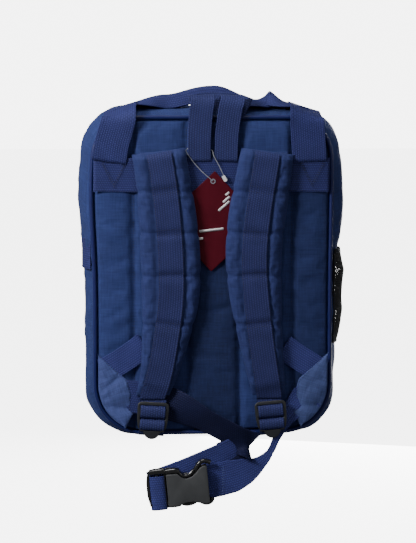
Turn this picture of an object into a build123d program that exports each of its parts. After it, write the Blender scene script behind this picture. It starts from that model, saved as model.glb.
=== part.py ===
"""Trauma backpack: a clamshell medical pack hung by its webbing loop.

Millimetres. +Z is up, -Y is the wearer's side, and the origin is the centre of the hanging loop's bend.
The harness (padded straps, ladder locks, waist belt) is on -Y, the zipped lid and its pocket are on +Y.
"""

import math
import os

from build123d import *

os.makedirs("parts", exist_ok=True)

# ---------------------------------------------------------------- driving dimensions
BASE_Z = -484.0  # the flat base, below the hanging loop
WALL = 4.0  # padded fabric laminate
GAP = 0.3  # between pieces that lie on each other
WEB = 1.7  # webbing thickness
WIDE_WEB = 50.0
NARROW_WEB = 38.0

REAR_HALF, REAR_TOP = 176.0, 470.0  # outline at the rear seam, y = 0, and at the front seam
MID_HALF, MID_TOP = 187.0, 484.0  # outline at the main zip
R_LOW, R_HIGH = 75.0, 60.0
REAR_DEPTH = 70.0
FOOT = 0.3  # trimmed off the rear half, so that the pack stands on a flat face
ZIP_Y = 75.0
LID_START, LID_END = 80.0, 150.0
PIPE_R = 3.0

PAD_Y = -10.0  # outer face of the padded back
WEB_Y = PAD_Y - GAP  # inner face of webbing laid on the pad
BAND_LOW, BAND_HIGH = 358.5, 408.5
QUILT_X = (-116.0, -39.0, 39.0, 116.0)

STRAP_Y, STRAP_T = -14.6, 14.0  # inner face and thickness of the padded straps
STRAP_TOP = 418.0
# rows of (x, height, half width) down the middle of each padded strap
STRAPS = {
    "left": (
        (-80.5, 418, 37.5),
        (-70, 350, 40),
        (-63, 266, 42.5),
        (-64, 188, 39.5),
        (-70, 145, 34),
        (-78, 100, 28),
        (-89.5, 60, 23),
    ),
    "right": (
        (79, 418, 37),
        (68, 350, 41),
        (59, 259, 40),
        (62.5, 200, 37),
        (67, 159, 33),
        (73, 116, 29),
        (82, 60, 23),
    ),
}
LOCK_X = {"left": -92.0, "right": 87.0}
LOCK_TILT = {"left": -4.0, "right": 5.0}
LOCK_Y, LOCK_T = -26.0, 4.0  # outer face and thickness of the ladder locks
LOCK_W, LOCK_LOW, LOCK_HIGH = 47.0, 7.4, 51.7

BUCKLE_TILT = 5.4
BUCKLE_T = 14.0
BUCKLE_Y = -24.0  # inner face of the side-release buckle
MOUTH = (-69.0, -74.0)  # x and height of the middle of the buckle's mouth

POCKET_HALF, POCKET_LOW, POCKET_HIGH, POCKET_R = 125.0, 30.0, 300.0, 35.0
POCKET_START, POCKET_END = 154.2, 195.0


# ---------------------------------------------------------------- helpers
def z(height):
    """Z of a height above the base."""
    return BASE_Z + height


def rear_plane(y):
    """Plane across the pack at depth y: its local x is X, its local y is Z, and its normal is -Y."""
    return Plane(origin=(0, y, 0), x_dir=(1, 0, 0), z_dir=(0, -1, 0))


def side_plane(x):
    """Plane along the pack at x: its local x is Y, its local y is Z, and its normal is +X."""
    return Plane(origin=(x, 0, 0), x_dir=(0, 1, 0), z_dir=(1, 0, 0))


def level_plane(height):
    return Plane(origin=(0, 0, z(height)))


def panel(y, half, low, high, r_low, r_high):
    """Rounded panel outline at depth y, between two heights."""
    with BuildSketch(rear_plane(y)) as outline:
        with Locations((0, z((low + high) / 2))):
            Rectangle(2 * half, high - low)
        rows = outline.vertices().group_by(Axis.Y)
        fillet(rows[0], r_low)
        fillet(outline.vertices().group_by(Axis.Y)[-1], r_high)
    return outline.sketch


def bag_panel(y, half, top, inset=0.0):
    return panel(y, half - inset, inset, top - inset, R_LOW - inset, R_HIGH - inset)


def plate(outline, depth):
    """Slab from a rear_plane outline towards -Y."""
    with BuildPart() as slab:
        extrude(outline, amount=depth)
    return slab


def strip(y, start, end, width):
    """Straight webbing outline between two (x, height) points, at depth y."""
    (x0, h0), (x1, h1) = start, end
    length = math.hypot(x1 - x0, h1 - h0)
    turn = math.degrees(math.atan2(h1 - h0, x1 - x0))
    with BuildSketch(rear_plane(y)) as outline:
        with Locations(Location(((x0 + x1) / 2, z((h0 + h1) / 2), 0), turn)):
            Rectangle(length, width)
    return outline.sketch


def polygon(y, points):
    with BuildSketch(rear_plane(y)) as outline:
        with BuildLine():
            Polyline(*[(x, z(h)) for x, h in points], close=True)
        make_face()
    return outline.sketch


def ribbon(y, path, half_width=None):
    """Outline with smooth long edges along rows of (x, height, half width)."""
    left = [(x - (half_width or w), z(h)) for x, h, w in path]
    right = [(x + (half_width or w), z(h)) for x, h, w in path]
    with BuildSketch(rear_plane(y)) as outline:
        with BuildLine():
            Spline(*left)
            Line(left[-1], right[-1])
            Spline(*right[::-1])
            Line(right[0], left[0])
        make_face()
    return outline.sketch


def ring_along(y, half, low, high, r_low, r_high):
    """Round piping sewn round a panel's edge."""
    with BuildPart() as piping:
        edge = panel(y, half, low, high, r_low, r_high).face().outer_wire()
        start = Plane(origin=edge @ 0, z_dir=edge % 0)
        with BuildSketch(start):
            Circle(PIPE_R)
        sweep(path=edge)
    return piping


def save(piece, name):
    piece.part.label = name
    export_step(piece.part, f"parts/{name}.step")


# ---------------------------------------------------------------- the pack's rear half
def inner_half(y):
    return REAR_HALF + (MID_HALF - REAR_HALF) * y / REAR_DEPTH - WALL


def inner_top(y):
    return REAR_TOP + (MID_TOP - REAR_TOP) * y / REAR_DEPTH - WALL


def inner_panel(y, half, top):
    return panel(y, half, WALL, top, R_LOW - WALL, R_HIGH - WALL)


with BuildPart() as rear_shell:
    loft(
        [
            panel(0, REAR_HALF, -FOOT, REAR_TOP, R_LOW, R_HIGH),
            panel(REAR_DEPTH, MID_HALF, -FOOT, MID_TOP, R_LOW, R_HIGH),
        ],
        ruled=True,
    )
    loft(
        [
            inner_panel(WALL, inner_half(WALL), inner_top(WALL)),
            inner_panel(REAR_DEPTH, inner_half(REAR_DEPTH), inner_top(REAR_DEPTH)),
        ],
        ruled=True,
        mode=Mode.SUBTRACT,
    )
    split(bisect_by=level_plane(0))
save(rear_shell, "rear_shell")

PAD_INSET = 8.0  # room for the piping round the padded back
QUILT_W, QUILT_DEEP = 4.0, 2.5
with BuildPart() as back_pad:
    extrude(bag_panel(-GAP, REAR_HALF, REAR_TOP, inset=PAD_INSET), amount=-PAD_Y - GAP)
    fillet(back_pad.faces().sort_by(Axis.Y)[0].edges(), 3.5)
    with BuildSketch(rear_plane(PAD_Y)):
        with Locations(*[(x, z(REAR_TOP / 2)) for x in QUILT_X]):
            Rectangle(QUILT_W, REAR_TOP)
    extrude(amount=-QUILT_DEEP, mode=Mode.SUBTRACT)
save(back_pad, "back_pad")

save(
    ring_along(
        -PIPE_R - GAP, REAR_HALF - PIPE_R, PIPE_R, REAR_TOP - PIPE_R, R_LOW - PIPE_R, R_HIGH - PIPE_R
    ),
    "rear_piping",
)

FRAME_SHEET_T = 2.0
FRAME_Y = WALL + GAP
ORGANISER_Y = FRAME_Y + FRAME_SHEET_T + GAP
LOOPS_Y = ORGANISER_Y + FRAME_SHEET_T + GAP
save(plate(panel(FRAME_Y + FRAME_SHEET_T, 160, 12, 452, 50, 45), FRAME_SHEET_T), "frame_sheet")
save(plate(panel(ORGANISER_Y + FRAME_SHEET_T, 150, 20, 440, 30, 30), FRAME_SHEET_T), "organiser_panel")

LOOP_R, LOOP_COUNT, LOOP_PITCH = 13.0, 8, 34.0
LOOP_H, ELASTIC_T = 25.0, 1.2
LOOP_X = [LOOP_PITCH * (i - (LOOP_COUNT - 1) / 2) for i in range(LOOP_COUNT)]
with BuildPart() as elastic_loops:
    for row_height in (90, 350):
        with BuildSketch(level_plane(row_height)):
            with Locations(*[(x, LOOPS_Y) for x in LOOP_X]):
                Circle(LOOP_R)
                Circle(LOOP_R - ELASTIC_T, mode=Mode.SUBTRACT)
            with Locations((0, LOOPS_Y - LOOP_R)):
                Rectangle(2 * REAR_HALF, 2 * LOOP_R, mode=Mode.SUBTRACT)
        extrude(amount=LOOP_H)
save(elastic_loops, "elastic_loops")

SHELF_HEIGHTS, SHELF_T, SHELF_FRONT = (200, 300), 6.0, 66.0
with BuildPart() as shelf_dividers:
    shelf_y = (LOOPS_Y + SHELF_FRONT) / 2
    with Locations(*[(0, shelf_y, z(height + SHELF_T / 2)) for height in SHELF_HEIGHTS]):
        Box(330, SHELF_FRONT - LOOPS_Y, SHELF_T)
    fillet(shelf_dividers.edges().filter_by(Axis.X), 2.5)
save(shelf_dividers, "shelf_dividers")

with BuildPart() as base_board:
    with Locations((0, 37, z(WALL + GAP + 1.25))):
        Box(190, 56, 2.5)
    fillet(base_board.edges().filter_by(Axis.Z), 8)
save(base_board, "base_board")


# ---------------------------------------------------------------- zips
def zip_ring(y, depth, outline, hole, cut_height):
    """A zip's tape and half of its teeth, round three sides of a panel."""
    with BuildPart() as tape:
        extrude(outline, amount=-depth)
        extrude(hole, amount=-depth, mode=Mode.SUBTRACT)
        with Locations((0, y, z(cut_height - 50))):
            Box(3 * MID_HALF, 4 * depth, 100, mode=Mode.SUBTRACT)
    return tape


for half_name, ring_y in (("rear", REAR_DEPTH + GAP), ("lid", ZIP_Y + 0.2)):
    main_ring = zip_ring(
        ring_y,
        4.4,
        bag_panel(ring_y, MID_HALF, MID_TOP),
        bag_panel(ring_y, MID_HALF, MID_TOP, inset=WALL),
        cut_height=22,
    )
    save(main_ring, f"zip_{half_name}")

with BuildPart() as hinge_gusset:
    with Locations((0, REAR_DEPTH + GAP + 2.2, z(1.75))):
        Box(2 * (MID_HALF - R_LOW), 4.4, 3.5)
save(hinge_gusset, "hinge_gusset")

SLIDER_L, SLIDER_W, SLIDER_T = 13.0, 11.0, 3.0
CROWN_H, PIN_R = 5.0, 1.0


def slider(x, y, top, width, name):
    """Zip slider: a plate over the teeth, and a crown that the pull's pin turns in."""
    floor = top + GAP
    with BuildPart() as body:
        with Locations((x, y, z(floor + SLIDER_T / 2))):
            Box(SLIDER_L, width, SLIDER_T)
        fillet(body.edges().filter_by(Axis.Z), 3)
        with BuildSketch(rear_plane(y + 2)):
            with Locations((x, z(floor + SLIDER_T + CROWN_H / 2))):
                Rectangle(8, CROWN_H)
                Circle(PIN_R + 0.7, mode=Mode.SUBTRACT)
        extrude(amount=4)
    save(body, name)


def pull(x, y, top, side, name):
    """Pull tab with the pin that turns in the crown, lying flat away from x = 0."""
    pin_z = z(top + GAP + SLIDER_T + CROWN_H / 2)
    with BuildPart() as tab:
        with BuildSketch(rear_plane(y + 4)):
            with Locations((x, pin_z)):
                Circle(PIN_R)
        extrude(amount=8)
        with Locations((x + side * 9, y - 3.2, pin_z), (x + side * 9, y + 3.2, pin_z)):
            Box(18, 1.6, 1.6)
        with Locations((x + side * 24, y, pin_z)):
            Box(14, 8, 1.6)
    save(tab, name)


SLIDER_X = 9.0
for side_name, side in (("left", -1), ("right", 1)):
    slider(side * SLIDER_X, ZIP_Y, MID_TOP, SLIDER_W, f"slider_{side_name}")
    pull(side * SLIDER_X, ZIP_Y, MID_TOP, side, f"pull_{side_name}")
POCKET_SLIDER_X, POCKET_SLIDER_Y = -80.0, 155.0
slider(POCKET_SLIDER_X, POCKET_SLIDER_Y, POCKET_HIGH, 7.0, "pocket_slider")
pull(POCKET_SLIDER_X, POCKET_SLIDER_Y, POCKET_HIGH, 1, "pocket_pull")

# ---------------------------------------------------------------- lid and front pocket
with BuildPart() as lid_shell:
    loft(
        [bag_panel(LID_START, MID_HALF, MID_TOP), bag_panel(LID_END, REAR_HALF, REAR_TOP)],
        ruled=True,
    )
    loft(
        [
            inner_panel(LID_START, MID_HALF - WALL, MID_TOP - WALL),
            inner_panel(LID_END - WALL, REAR_HALF + 0.6 - WALL, REAR_TOP + 0.8 - WALL),
        ],
        ruled=True,
        mode=Mode.SUBTRACT,
    )
save(lid_shell, "lid_shell")

save(
    ring_along(
        LID_END + PIPE_R + GAP,
        REAR_HALF - PIPE_R,
        PIPE_R,
        REAR_TOP - PIPE_R,
        R_LOW - PIPE_R,
        R_HIGH - PIPE_R,
    ),
    "front_piping",
)

save(plate(panel(LID_END - WALL - GAP, 145, 40, 250, 25, 6), 2.0), "lid_inner_pocket")


def pocket_panel(y, inset=0.0, taper=0.0):
    grow = inset + taper
    return panel(y, POCKET_HALF - grow, POCKET_LOW + inset, POCKET_HIGH - grow, POCKET_R, POCKET_R)


save(
    zip_ring(
        LID_END + GAP,
        3.5,
        pocket_panel(LID_END + GAP),
        pocket_panel(LID_END + GAP, inset=8),
        cut_height=POCKET_LOW + 14,
    ),
    "pocket_zip",
)

POCKET_WALL = 3.0
with BuildPart() as front_pocket:
    loft([pocket_panel(POCKET_START), pocket_panel(POCKET_END, taper=9)], ruled=True)
    loft(
        [
            pocket_panel(POCKET_START, POCKET_WALL),
            pocket_panel(POCKET_END - POCKET_WALL, POCKET_WALL, 8.5),
        ],
        ruled=True,
        mode=Mode.SUBTRACT,
    )
save(front_pocket, "front_pocket")


# ---------------------------------------------------------------- side webbing and mesh pocket
def gusset_x(y, clear):
    """|X| of the rear half's side wall, plus a clearance."""
    return REAR_HALF + (MID_HALF - REAR_HALF) * y / REAR_DEPTH + clear


SIDE_BAND_LOW, SIDE_BAND_W = 245.0, 44.0
with BuildPart() as side_webbing:
    with BuildSketch(level_plane(SIDE_BAND_LOW)):
        with BuildLine():
            Polyline(
                (-gusset_x(3, GAP), 3),
                (-gusset_x(67, GAP), 67),
                (-gusset_x(67, GAP + WEB), 67),
                (-gusset_x(3, GAP + WEB), 3),
                close=True,
            )
        make_face()
    extrude(amount=SIDE_BAND_W)
save(side_webbing, "side_webbing")

MESH_LOW, MESH_HIGH, MESH_T = 134.0, 266.0, 1.5


def mesh_arc(height, thickness):
    """Wall of the bulging side pocket, open towards the pack."""
    with BuildSketch(level_plane(height)) as wall:
        with BuildLine():
            ThreePointArc((178, 6), (198, 36), (188, 64))
            Line((188, 64), (188 - 0.6 * thickness, 64 - thickness))
            ThreePointArc(
                (188 - 0.6 * thickness, 64 - thickness),
                (198 - thickness, 36),
                (178 + 0.3 * thickness, 6 + thickness),
            )
            Line((178 + 0.3 * thickness, 6 + thickness), (178, 6))
        make_face()
    return wall.sketch


with BuildPart() as mesh_pocket:
    extrude(mesh_arc(MESH_LOW, MESH_T), amount=MESH_HIGH - MESH_LOW)
    with BuildSketch(level_plane(MESH_LOW)):
        with BuildLine():
            ThreePointArc((178, 6), (198, 36), (188, 64))
            Line((188, 64), (178, 6))
        make_face()
    extrude(amount=MESH_T)
save(mesh_pocket, "mesh_pocket")

with BuildPart() as mesh_hem:
    extrude(mesh_arc(MESH_HIGH + GAP, 2.6), amount=9)
save(mesh_hem, "mesh_pocket_hem")

# ---------------------------------------------------------------- webbing on the back panel
BAND_MIDDLE, BAND_HALF = (BAND_LOW + BAND_HIGH) / 2, 169.0
band = strip(WEB_Y, (-BAND_HALF, BAND_MIDDLE), (BAND_HALF, BAND_MIDDLE), WIDE_WEB)
save(plate(band, WEB), "shoulder_band")

HANDLE_X, LEG_TOP = 140.0, 466.0
with BuildPart() as handle_legs:
    for side in (-1, 1):
        foot, top = (side * HANDLE_X, BAND_HIGH + 0.5), (side * HANDLE_X, LEG_TOP)
        extrude(strip(WEB_Y, foot, top, WIDE_WEB - 2), amount=WEB)
save(handle_legs, "handle_legs")

# the carry handle's free part: two tongues over the top edge, and the span that they carry
HANDLE_PIVOT = (-8.0, 472.0)
SPAN_START, SPAN_END, SPAN_T = 18.0, 66.0, 2.0
with BuildPart() as carry_handle:
    with BuildSketch(rear_plane(SPAN_START)):
        with BuildLine():
            ThreePointArc((-160, z(480)), (0, z(510)), (160, z(480)))
            Line((160, z(480)), (160, z(480 + SPAN_T)))
            ThreePointArc((160, z(480 + SPAN_T)), (0, z(510 + SPAN_T)), (-160, z(480 + SPAN_T)))
            Line((-160, z(480 + SPAN_T)), (-160, z(480)))
        make_face()
    extrude(amount=SPAN_START - SPAN_END)
    for tongue_x in (-160, 112):
        with BuildSketch(side_plane(tongue_x)):
            with BuildLine():
                Polyline(
                    (HANDLE_PIVOT[0], z(472.5)),
                    (SPAN_END, z(487)),
                    (SPAN_END, z(487 + SPAN_T)),
                    (HANDLE_PIVOT[0], z(472.5 + SPAN_T)),
                    close=True,
                )
            make_face()
        extrude(amount=48)
save(carry_handle, "carry_handle")

# the hanging loop: two legs that bend back over the top, joined behind by the turn
LOOP_BEND = 13.0
LOOP_FRONT = -LOOP_BEND
with BuildPart() as hang_loop:
    for leg_low, leg_high in ((-38, -2.5), (1.5, 38)):
        with BuildSketch(side_plane(leg_low)):
            with BuildLine():
                Line((LOOP_FRONT - WEB / 2, z(BAND_HIGH + 0.5)), (LOOP_FRONT - WEB / 2, 0))
                ThreePointArc(
                    (LOOP_FRONT - WEB / 2, 0), (0, LOOP_BEND + WEB / 2), (LOOP_BEND + WEB / 2, 0)
                )
                Line((LOOP_BEND + WEB / 2, 0), (LOOP_BEND + WEB / 2, -7))
                Line((LOOP_BEND + WEB / 2, -7), (LOOP_BEND - WEB / 2, -7))
                Line((LOOP_BEND - WEB / 2, -7), (LOOP_BEND - WEB / 2, 0))
                ThreePointArc(
                    (LOOP_BEND - WEB / 2, 0), (0, LOOP_BEND - WEB / 2), (LOOP_FRONT + WEB / 2, 0)
                )
                Line((LOOP_FRONT + WEB / 2, 0), (LOOP_FRONT + WEB / 2, z(BAND_HIGH + 0.5)))
                Line(
                    (LOOP_FRONT + WEB / 2, z(BAND_HIGH + 0.5)),
                    (LOOP_FRONT - WEB / 2, z(BAND_HIGH + 0.5)),
                )
            make_face()
        extrude(amount=leg_high - leg_low)
    with Locations((0, LOOP_BEND, -1)):
        Box(20, WEB, 12)
save(hang_loop, "hang_loop")

# ---------------------------------------------------------------- shoulder straps
ANCHOR_Y = WEB_Y - WEB - GAP
with BuildPart() as strap_anchors:
    for side in (-1, 1):
        extrude(strip(ANCHOR_Y, (side * 79, 372), (side * 79, 417), 60), amount=1.9)
save(strap_anchors, "strap_anchors")

for side_name, rows in STRAPS.items():
    with BuildPart() as strap_pad:
        extrude(ribbon(STRAP_Y, rows), amount=STRAP_T)
        fillet(strap_pad.faces().sort_by(Axis.Y)[0].edges().filter_by(GeomType.BSPLINE), 3)
    save(strap_pad, f"strap_{side_name}")

    webbing_y = STRAP_Y - STRAP_T - GAP
    save(plate(ribbon(webbing_y, rows, NARROW_WEB / 2 - 0.5), WEB), f"strap_webbing_{side_name}")


# ---------------------------------------------------------------- ladder locks
def lock_plane(side_name, y):
    """Plane of a ladder lock at depth y, its local origin at the lock's middle on the base line."""
    tilt = math.radians(LOCK_TILT[side_name])
    return Plane(
        origin=(LOCK_X[side_name], y, BASE_Z),
        x_dir=(math.cos(tilt), 0, math.sin(tilt)),
        z_dir=(0, -1, 0),
    )


SLOTS = ((39.0, 46.5), (23.0, 34.0), (11.5, 17.5))  # heights of the three slots
BARS = ((34.0, 39.0), (17.5, 23.0))  # the bars between them
SLOT_W = 38.5


def webbing_round(plane, bar, low, behind):
    """A turn of webbing round a lock's bar, whose back strand runs from low to behind."""
    front, back = -WEB - 0.4, LOCK_T + 0.4  # local depths, measured from the lock's outer face
    top, bottom = bar[1] + 0.5, bar[0] - 0.5
    with BuildPart() as turn:
        for depth, span in ((front, (bottom - WEB, top + WEB)), (back, (low, behind))):
            with BuildSketch(plane.offset(-depth - WEB)):
                with Locations((0, (span[0] + span[1]) / 2)):
                    Rectangle(NARROW_WEB - 1, span[1] - span[0])
            extrude(amount=WEB)
        for edge in (bottom - WEB, top):
            with BuildSketch(plane.offset(-back)):
                with Locations((0, edge + WEB / 2)):
                    Rectangle(NARROW_WEB - 1, WEB)
            extrude(amount=back - front)
    return turn


for side_name in STRAPS:
    outer = lock_plane(side_name, LOCK_Y)
    with BuildPart() as ladder_lock:
        with BuildSketch(outer):
            with Locations((0, (LOCK_LOW + LOCK_HIGH) / 2)):
                RectangleRounded(LOCK_W, LOCK_HIGH - LOCK_LOW, 6)
            with Locations((0, 9)):
                Ellipse(17, 12)
            for low, high in SLOTS:
                with Locations((0, (low + high) / 2)):
                    RectangleRounded(SLOT_W, high - low, 1.2, mode=Mode.SUBTRACT)
        extrude(amount=-LOCK_T)
        chamfer(ladder_lock.faces().sort_by(Axis.Y)[0].outer_wire().edges(), 0.8)
    save(ladder_lock, f"ladder_lock_{side_name}")
    save(webbing_round(outer, BARS[0], BARS[0][0] - 0.5 - WEB, 53.5), f"strap_end_loop_{side_name}")
    save(webbing_round(outer, BARS[1], -7.0, BARS[1][1] + 0.5 + WEB), f"adjuster_tail_{side_name}")

# lower shoulder webbing: from under each wing up behind the strap, then down to the lock
ADJUST_Y = STRAP_Y + 0.3 + 1.6
for side_name in STRAPS:
    side = -1 if side_name == "left" else 1
    diagonal = strip(WEB_Y, (side * 158, 96), (side * 100, 134), NARROW_WEB - 1)
    save(plate(diagonal, WEB), f"adjuster_{side_name}")
    riser = strip(ADJUST_Y, (side * 79, 130), (side * 85, 62), NARROW_WEB - 4)
    save(plate(riser, 1.6), f"adjuster_riser_{side_name}")

# ---------------------------------------------------------------- wings and waist belt
WING_Y = WEB_Y - WEB - GAP
for side_name in STRAPS:
    side = -1 if side_name == "left" else 1
    with BuildPart() as wing:
        with BuildSketch(rear_plane(WING_Y)):
            with BuildLine():
                Polyline(
                    (side * 172, z(122)),
                    (side * 126, z(82)),
                    (side * 121, z(38)),
                    (side * 131, z(9)),
                    (side * 150, z(2)),
                    (side * 172, z(60)),
                    close=True,
                )
            make_face()
            add(bag_panel(WING_Y, REAR_HALF, REAR_TOP, inset=2), mode=Mode.INTERSECT)
        extrude(amount=2)
    save(wing, f"wing_{side_name}")

BELT_CUT = -14.0  # height where the hanging part of the belt begins to swing
BELT_Y = -21.0  # inner face of the hanging part
BELT_LOW, BELT_HANG = BELT_CUT + 1, BELT_CUT - 1  # lower edge above the cut, upper edge below it
left_upper = ((-130, 86), (-4, 48), (-4, -2), (-18, -1), (-130, 36))
left_bend = ((-3, 46), (40, 24), (66, BELT_LOW), (-2, BELT_LOW), (-3, 0))
right_upper = ((140, 84), (139, 34), (118, BELT_LOW), (88, BELT_LOW), (106, 44))
save(plate(polygon(WEB_Y, left_upper), WEB), "belt_left_upper")
save(plate(polygon(WEB_Y - WEB - GAP, left_bend), WEB), "belt_left_bend")
save(plate(polygon(WEB_Y, right_upper), WEB), "belt_right_upper")


def buckle_point(along, across):
    """(x, height) of a point in the buckle's own directions."""
    turn = math.radians(BUCKLE_TILT)
    return (
        MOUTH[0] + along * math.cos(turn) - across * math.sin(turn),
        MOUTH[1] + along * math.sin(turn) + across * math.cos(turn),
    )


left_lower = (
    (0, BELT_HANG),
    (66, BELT_HANG),
    (62, -34),
    buckle_point(60, -16),
    buckle_point(60, 26),
)
right_lower = (
    (89, BELT_HANG),
    (117, BELT_HANG),
    (88, -52),
    (70, -66),
    buckle_point(64, -25),
    buckle_point(64, 24),
    (55, -30),
    (75, -26),
)
save(plate(polygon(BELT_Y, left_lower), WEB), "belt_left_lower")
save(plate(strip(BELT_Y, buckle_point(57, 3), buckle_point(-28, 0), 46), WEB), "belt_left_end")
save(plate(polygon(BELT_Y - WEB - GAP, right_lower), WEB), "belt_right_lower")


def buckle_plane(depth=0.0):
    """Buckle's plane, depth in front of its inner face; local x runs from the mouth to the female's bar."""
    turn = math.radians(BUCKLE_TILT)
    return Plane(
        origin=(MOUTH[0], BUCKLE_Y - depth, z(MOUTH[1])),
        x_dir=(math.cos(turn), 0, math.sin(turn)),
        z_dir=(0, -1, 0),
    )


SOCKET_HALF, SOCKET_L, SOCKET_T = 25.0, 46.0, 8.0
BODY_HALF, BODY_L = 31.0, 62.0
SOCKET_FLOOR = (BUCKLE_T - SOCKET_T) / 2
with BuildPart() as buckle_female:
    with BuildSketch(buckle_plane()):
        with Locations((BODY_L / 2, 0)):
            RectangleRounded(BODY_L, 2 * BODY_HALF, 5)
        with Locations((25, BODY_HALF + 4), (25, -BODY_HALF - 4)):
            Ellipse(12, 9, mode=Mode.SUBTRACT)
        with Locations((52.5, 0)):
            RectangleRounded(5, 52, 1.5, mode=Mode.SUBTRACT)
    extrude(amount=BUCKLE_T)
    fillet(buckle_female.faces().sort_by(Axis.Y)[0].outer_wire().edges(), 1.5)
    with BuildSketch(buckle_plane(SOCKET_FLOOR)):
        with Locations((SOCKET_L / 2 - 1, 0)):
            Rectangle(SOCKET_L + 2, 2 * SOCKET_HALF)
        with Locations((25, 0)):
            Rectangle(17, 2 * BODY_HALF + 4)
    extrude(amount=SOCKET_T, mode=Mode.SUBTRACT)
save(buckle_female, "buckle_female")

PRONG_CLEAR = 0.5
with BuildPart() as buckle_male:
    with BuildSketch(buckle_plane()):
        with Locations((-15.3, 0)):
            RectangleRounded(30, 2 * BODY_HALF - 2, 8)
        with Locations((-24, 0), (-11, 0)):
            RectangleRounded(6, 52, 1.5, mode=Mode.SUBTRACT)
    extrude(amount=BUCKLE_T - 2)
    fillet(buckle_male.faces().sort_by(Axis.Y)[0].outer_wire().edges(), 1.5)
    with BuildSketch(buckle_plane(SOCKET_FLOOR + PRONG_CLEAR)):
        with Locations((13, 0)):
            RectangleRounded(33, 9, 2)
    extrude(amount=SOCKET_T - 2 * PRONG_CLEAR)
save(buckle_male, "buckle_male")

for side_name, side in (("upper", 1), ("lower", -1)):
    with BuildPart() as prong:
        with BuildSketch(buckle_plane(SOCKET_FLOOR + PRONG_CLEAR)):
            with BuildLine():
                Line((0.3, side * 14), (0.3, side * 19))
                Line((0.3, side * 19), (15, side * 20.5))
                ThreePointArc((15, side * 20.5), (25, side * 24.3), (35, side * 20.5))
                Line((35, side * 20.5), (41, side * 14))
                Line((41, side * 14), (36, side * 12))
                Line((36, side * 12), (16, side * 15.5))
                Line((16, side * 15.5), (0.3, side * 14))
            make_face()
        extrude(amount=SOCKET_T - 2 * PRONG_CLEAR)
    save(prong, f"buckle_prong_{side_name}")

# ---------------------------------------------------------------- swing tag
TAG_SIDE, TAG_TURN, TAG_Y = 104.0, 43.0, -12.6
TAG_CENTRE = (-0.5, 315.5)
TAG_HOLE_H, TAG_HOLE_R = 374.0, 3.0
with BuildPart() as swing_tag:
    with BuildSketch(rear_plane(TAG_Y)):
        with Locations(Location((TAG_CENTRE[0], z(TAG_CENTRE[1]), 0), TAG_TURN)):
            Rectangle(TAG_SIDE, TAG_SIDE)
        with Locations((TAG_CENTRE[0], z(TAG_HOLE_H))):
            Circle(TAG_HOLE_R, mode=Mode.SUBTRACT)
    extrude(amount=0.6)
save(swing_tag, "swing_tag")

# the string: from the tag's hole, up behind one leg of the hanging loop, and down to its bead
STRING_R = 0.6
STRING_ROUTE = (
    (-0.5, -14.2, 374.5),
    (-10.5, -15.0, 382.5),
    (-21.0, -15.0, 392.5),
    (-30.5, -15.0, 403.5),
    (-38.0, -15.6, 414),
    (-41.2, -11.4, 420),
    (-32.0, -10.9, 424.5),
    (-21.0, -11.2, 425),
    (-9.5, -11.2, 423),
    (-0.6, -11.0, 419),
    (-0.4, -15.9, 412.5),
    (4.5, -15.4, 403.5),
    (10.0, -15.6, 393.5),
    (14.5, -15.4, 383),
)


def corner_radii(points):
    """Largest arc at each corner: 0.45 of the shorter run over the tangent of half the turn."""
    radii = []
    for before, here, after in zip(points, points[1:], points[2:]):
        run_in, run_out = here - before, after - here
        half_turn = math.radians(run_in.get_angle(run_out)) / 2
        radii.append(0.45 * min(run_in.length, run_out.length) / math.tan(half_turn))
    return radii


route = [Vector(x, y, z(h)) for x, y, h in STRING_ROUTE]
with BuildPart() as tag_string:
    with BuildLine() as string_line:
        FilletPolyline(*route, radius=corner_radii(route))
    string_wire = string_line.wire()
    with BuildSketch(Plane(origin=string_wire @ 0, z_dir=string_wire % 0)):
        Circle(STRING_R)
    sweep(path=string_wire)
save(tag_string, "tag_string")

with BuildPart() as tag_bead:
    with BuildSketch(rear_plane(-14.3)):
        with Locations(Location((16, z(378.3), 0), -62)):
            RectangleRounded(9, 5, 1.2)
    extrude(amount=3.5)
save(tag_bead, "tag_bead")
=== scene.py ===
"""Looks of the trauma backpack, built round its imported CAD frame.

Places are in millimetres as x, y and height above the base; at() turns them into the frame's metres.
The wearer's side faces -Y.
"""

import math

import bmesh
import bpy
import numpy as np
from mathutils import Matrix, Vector, noise


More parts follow.
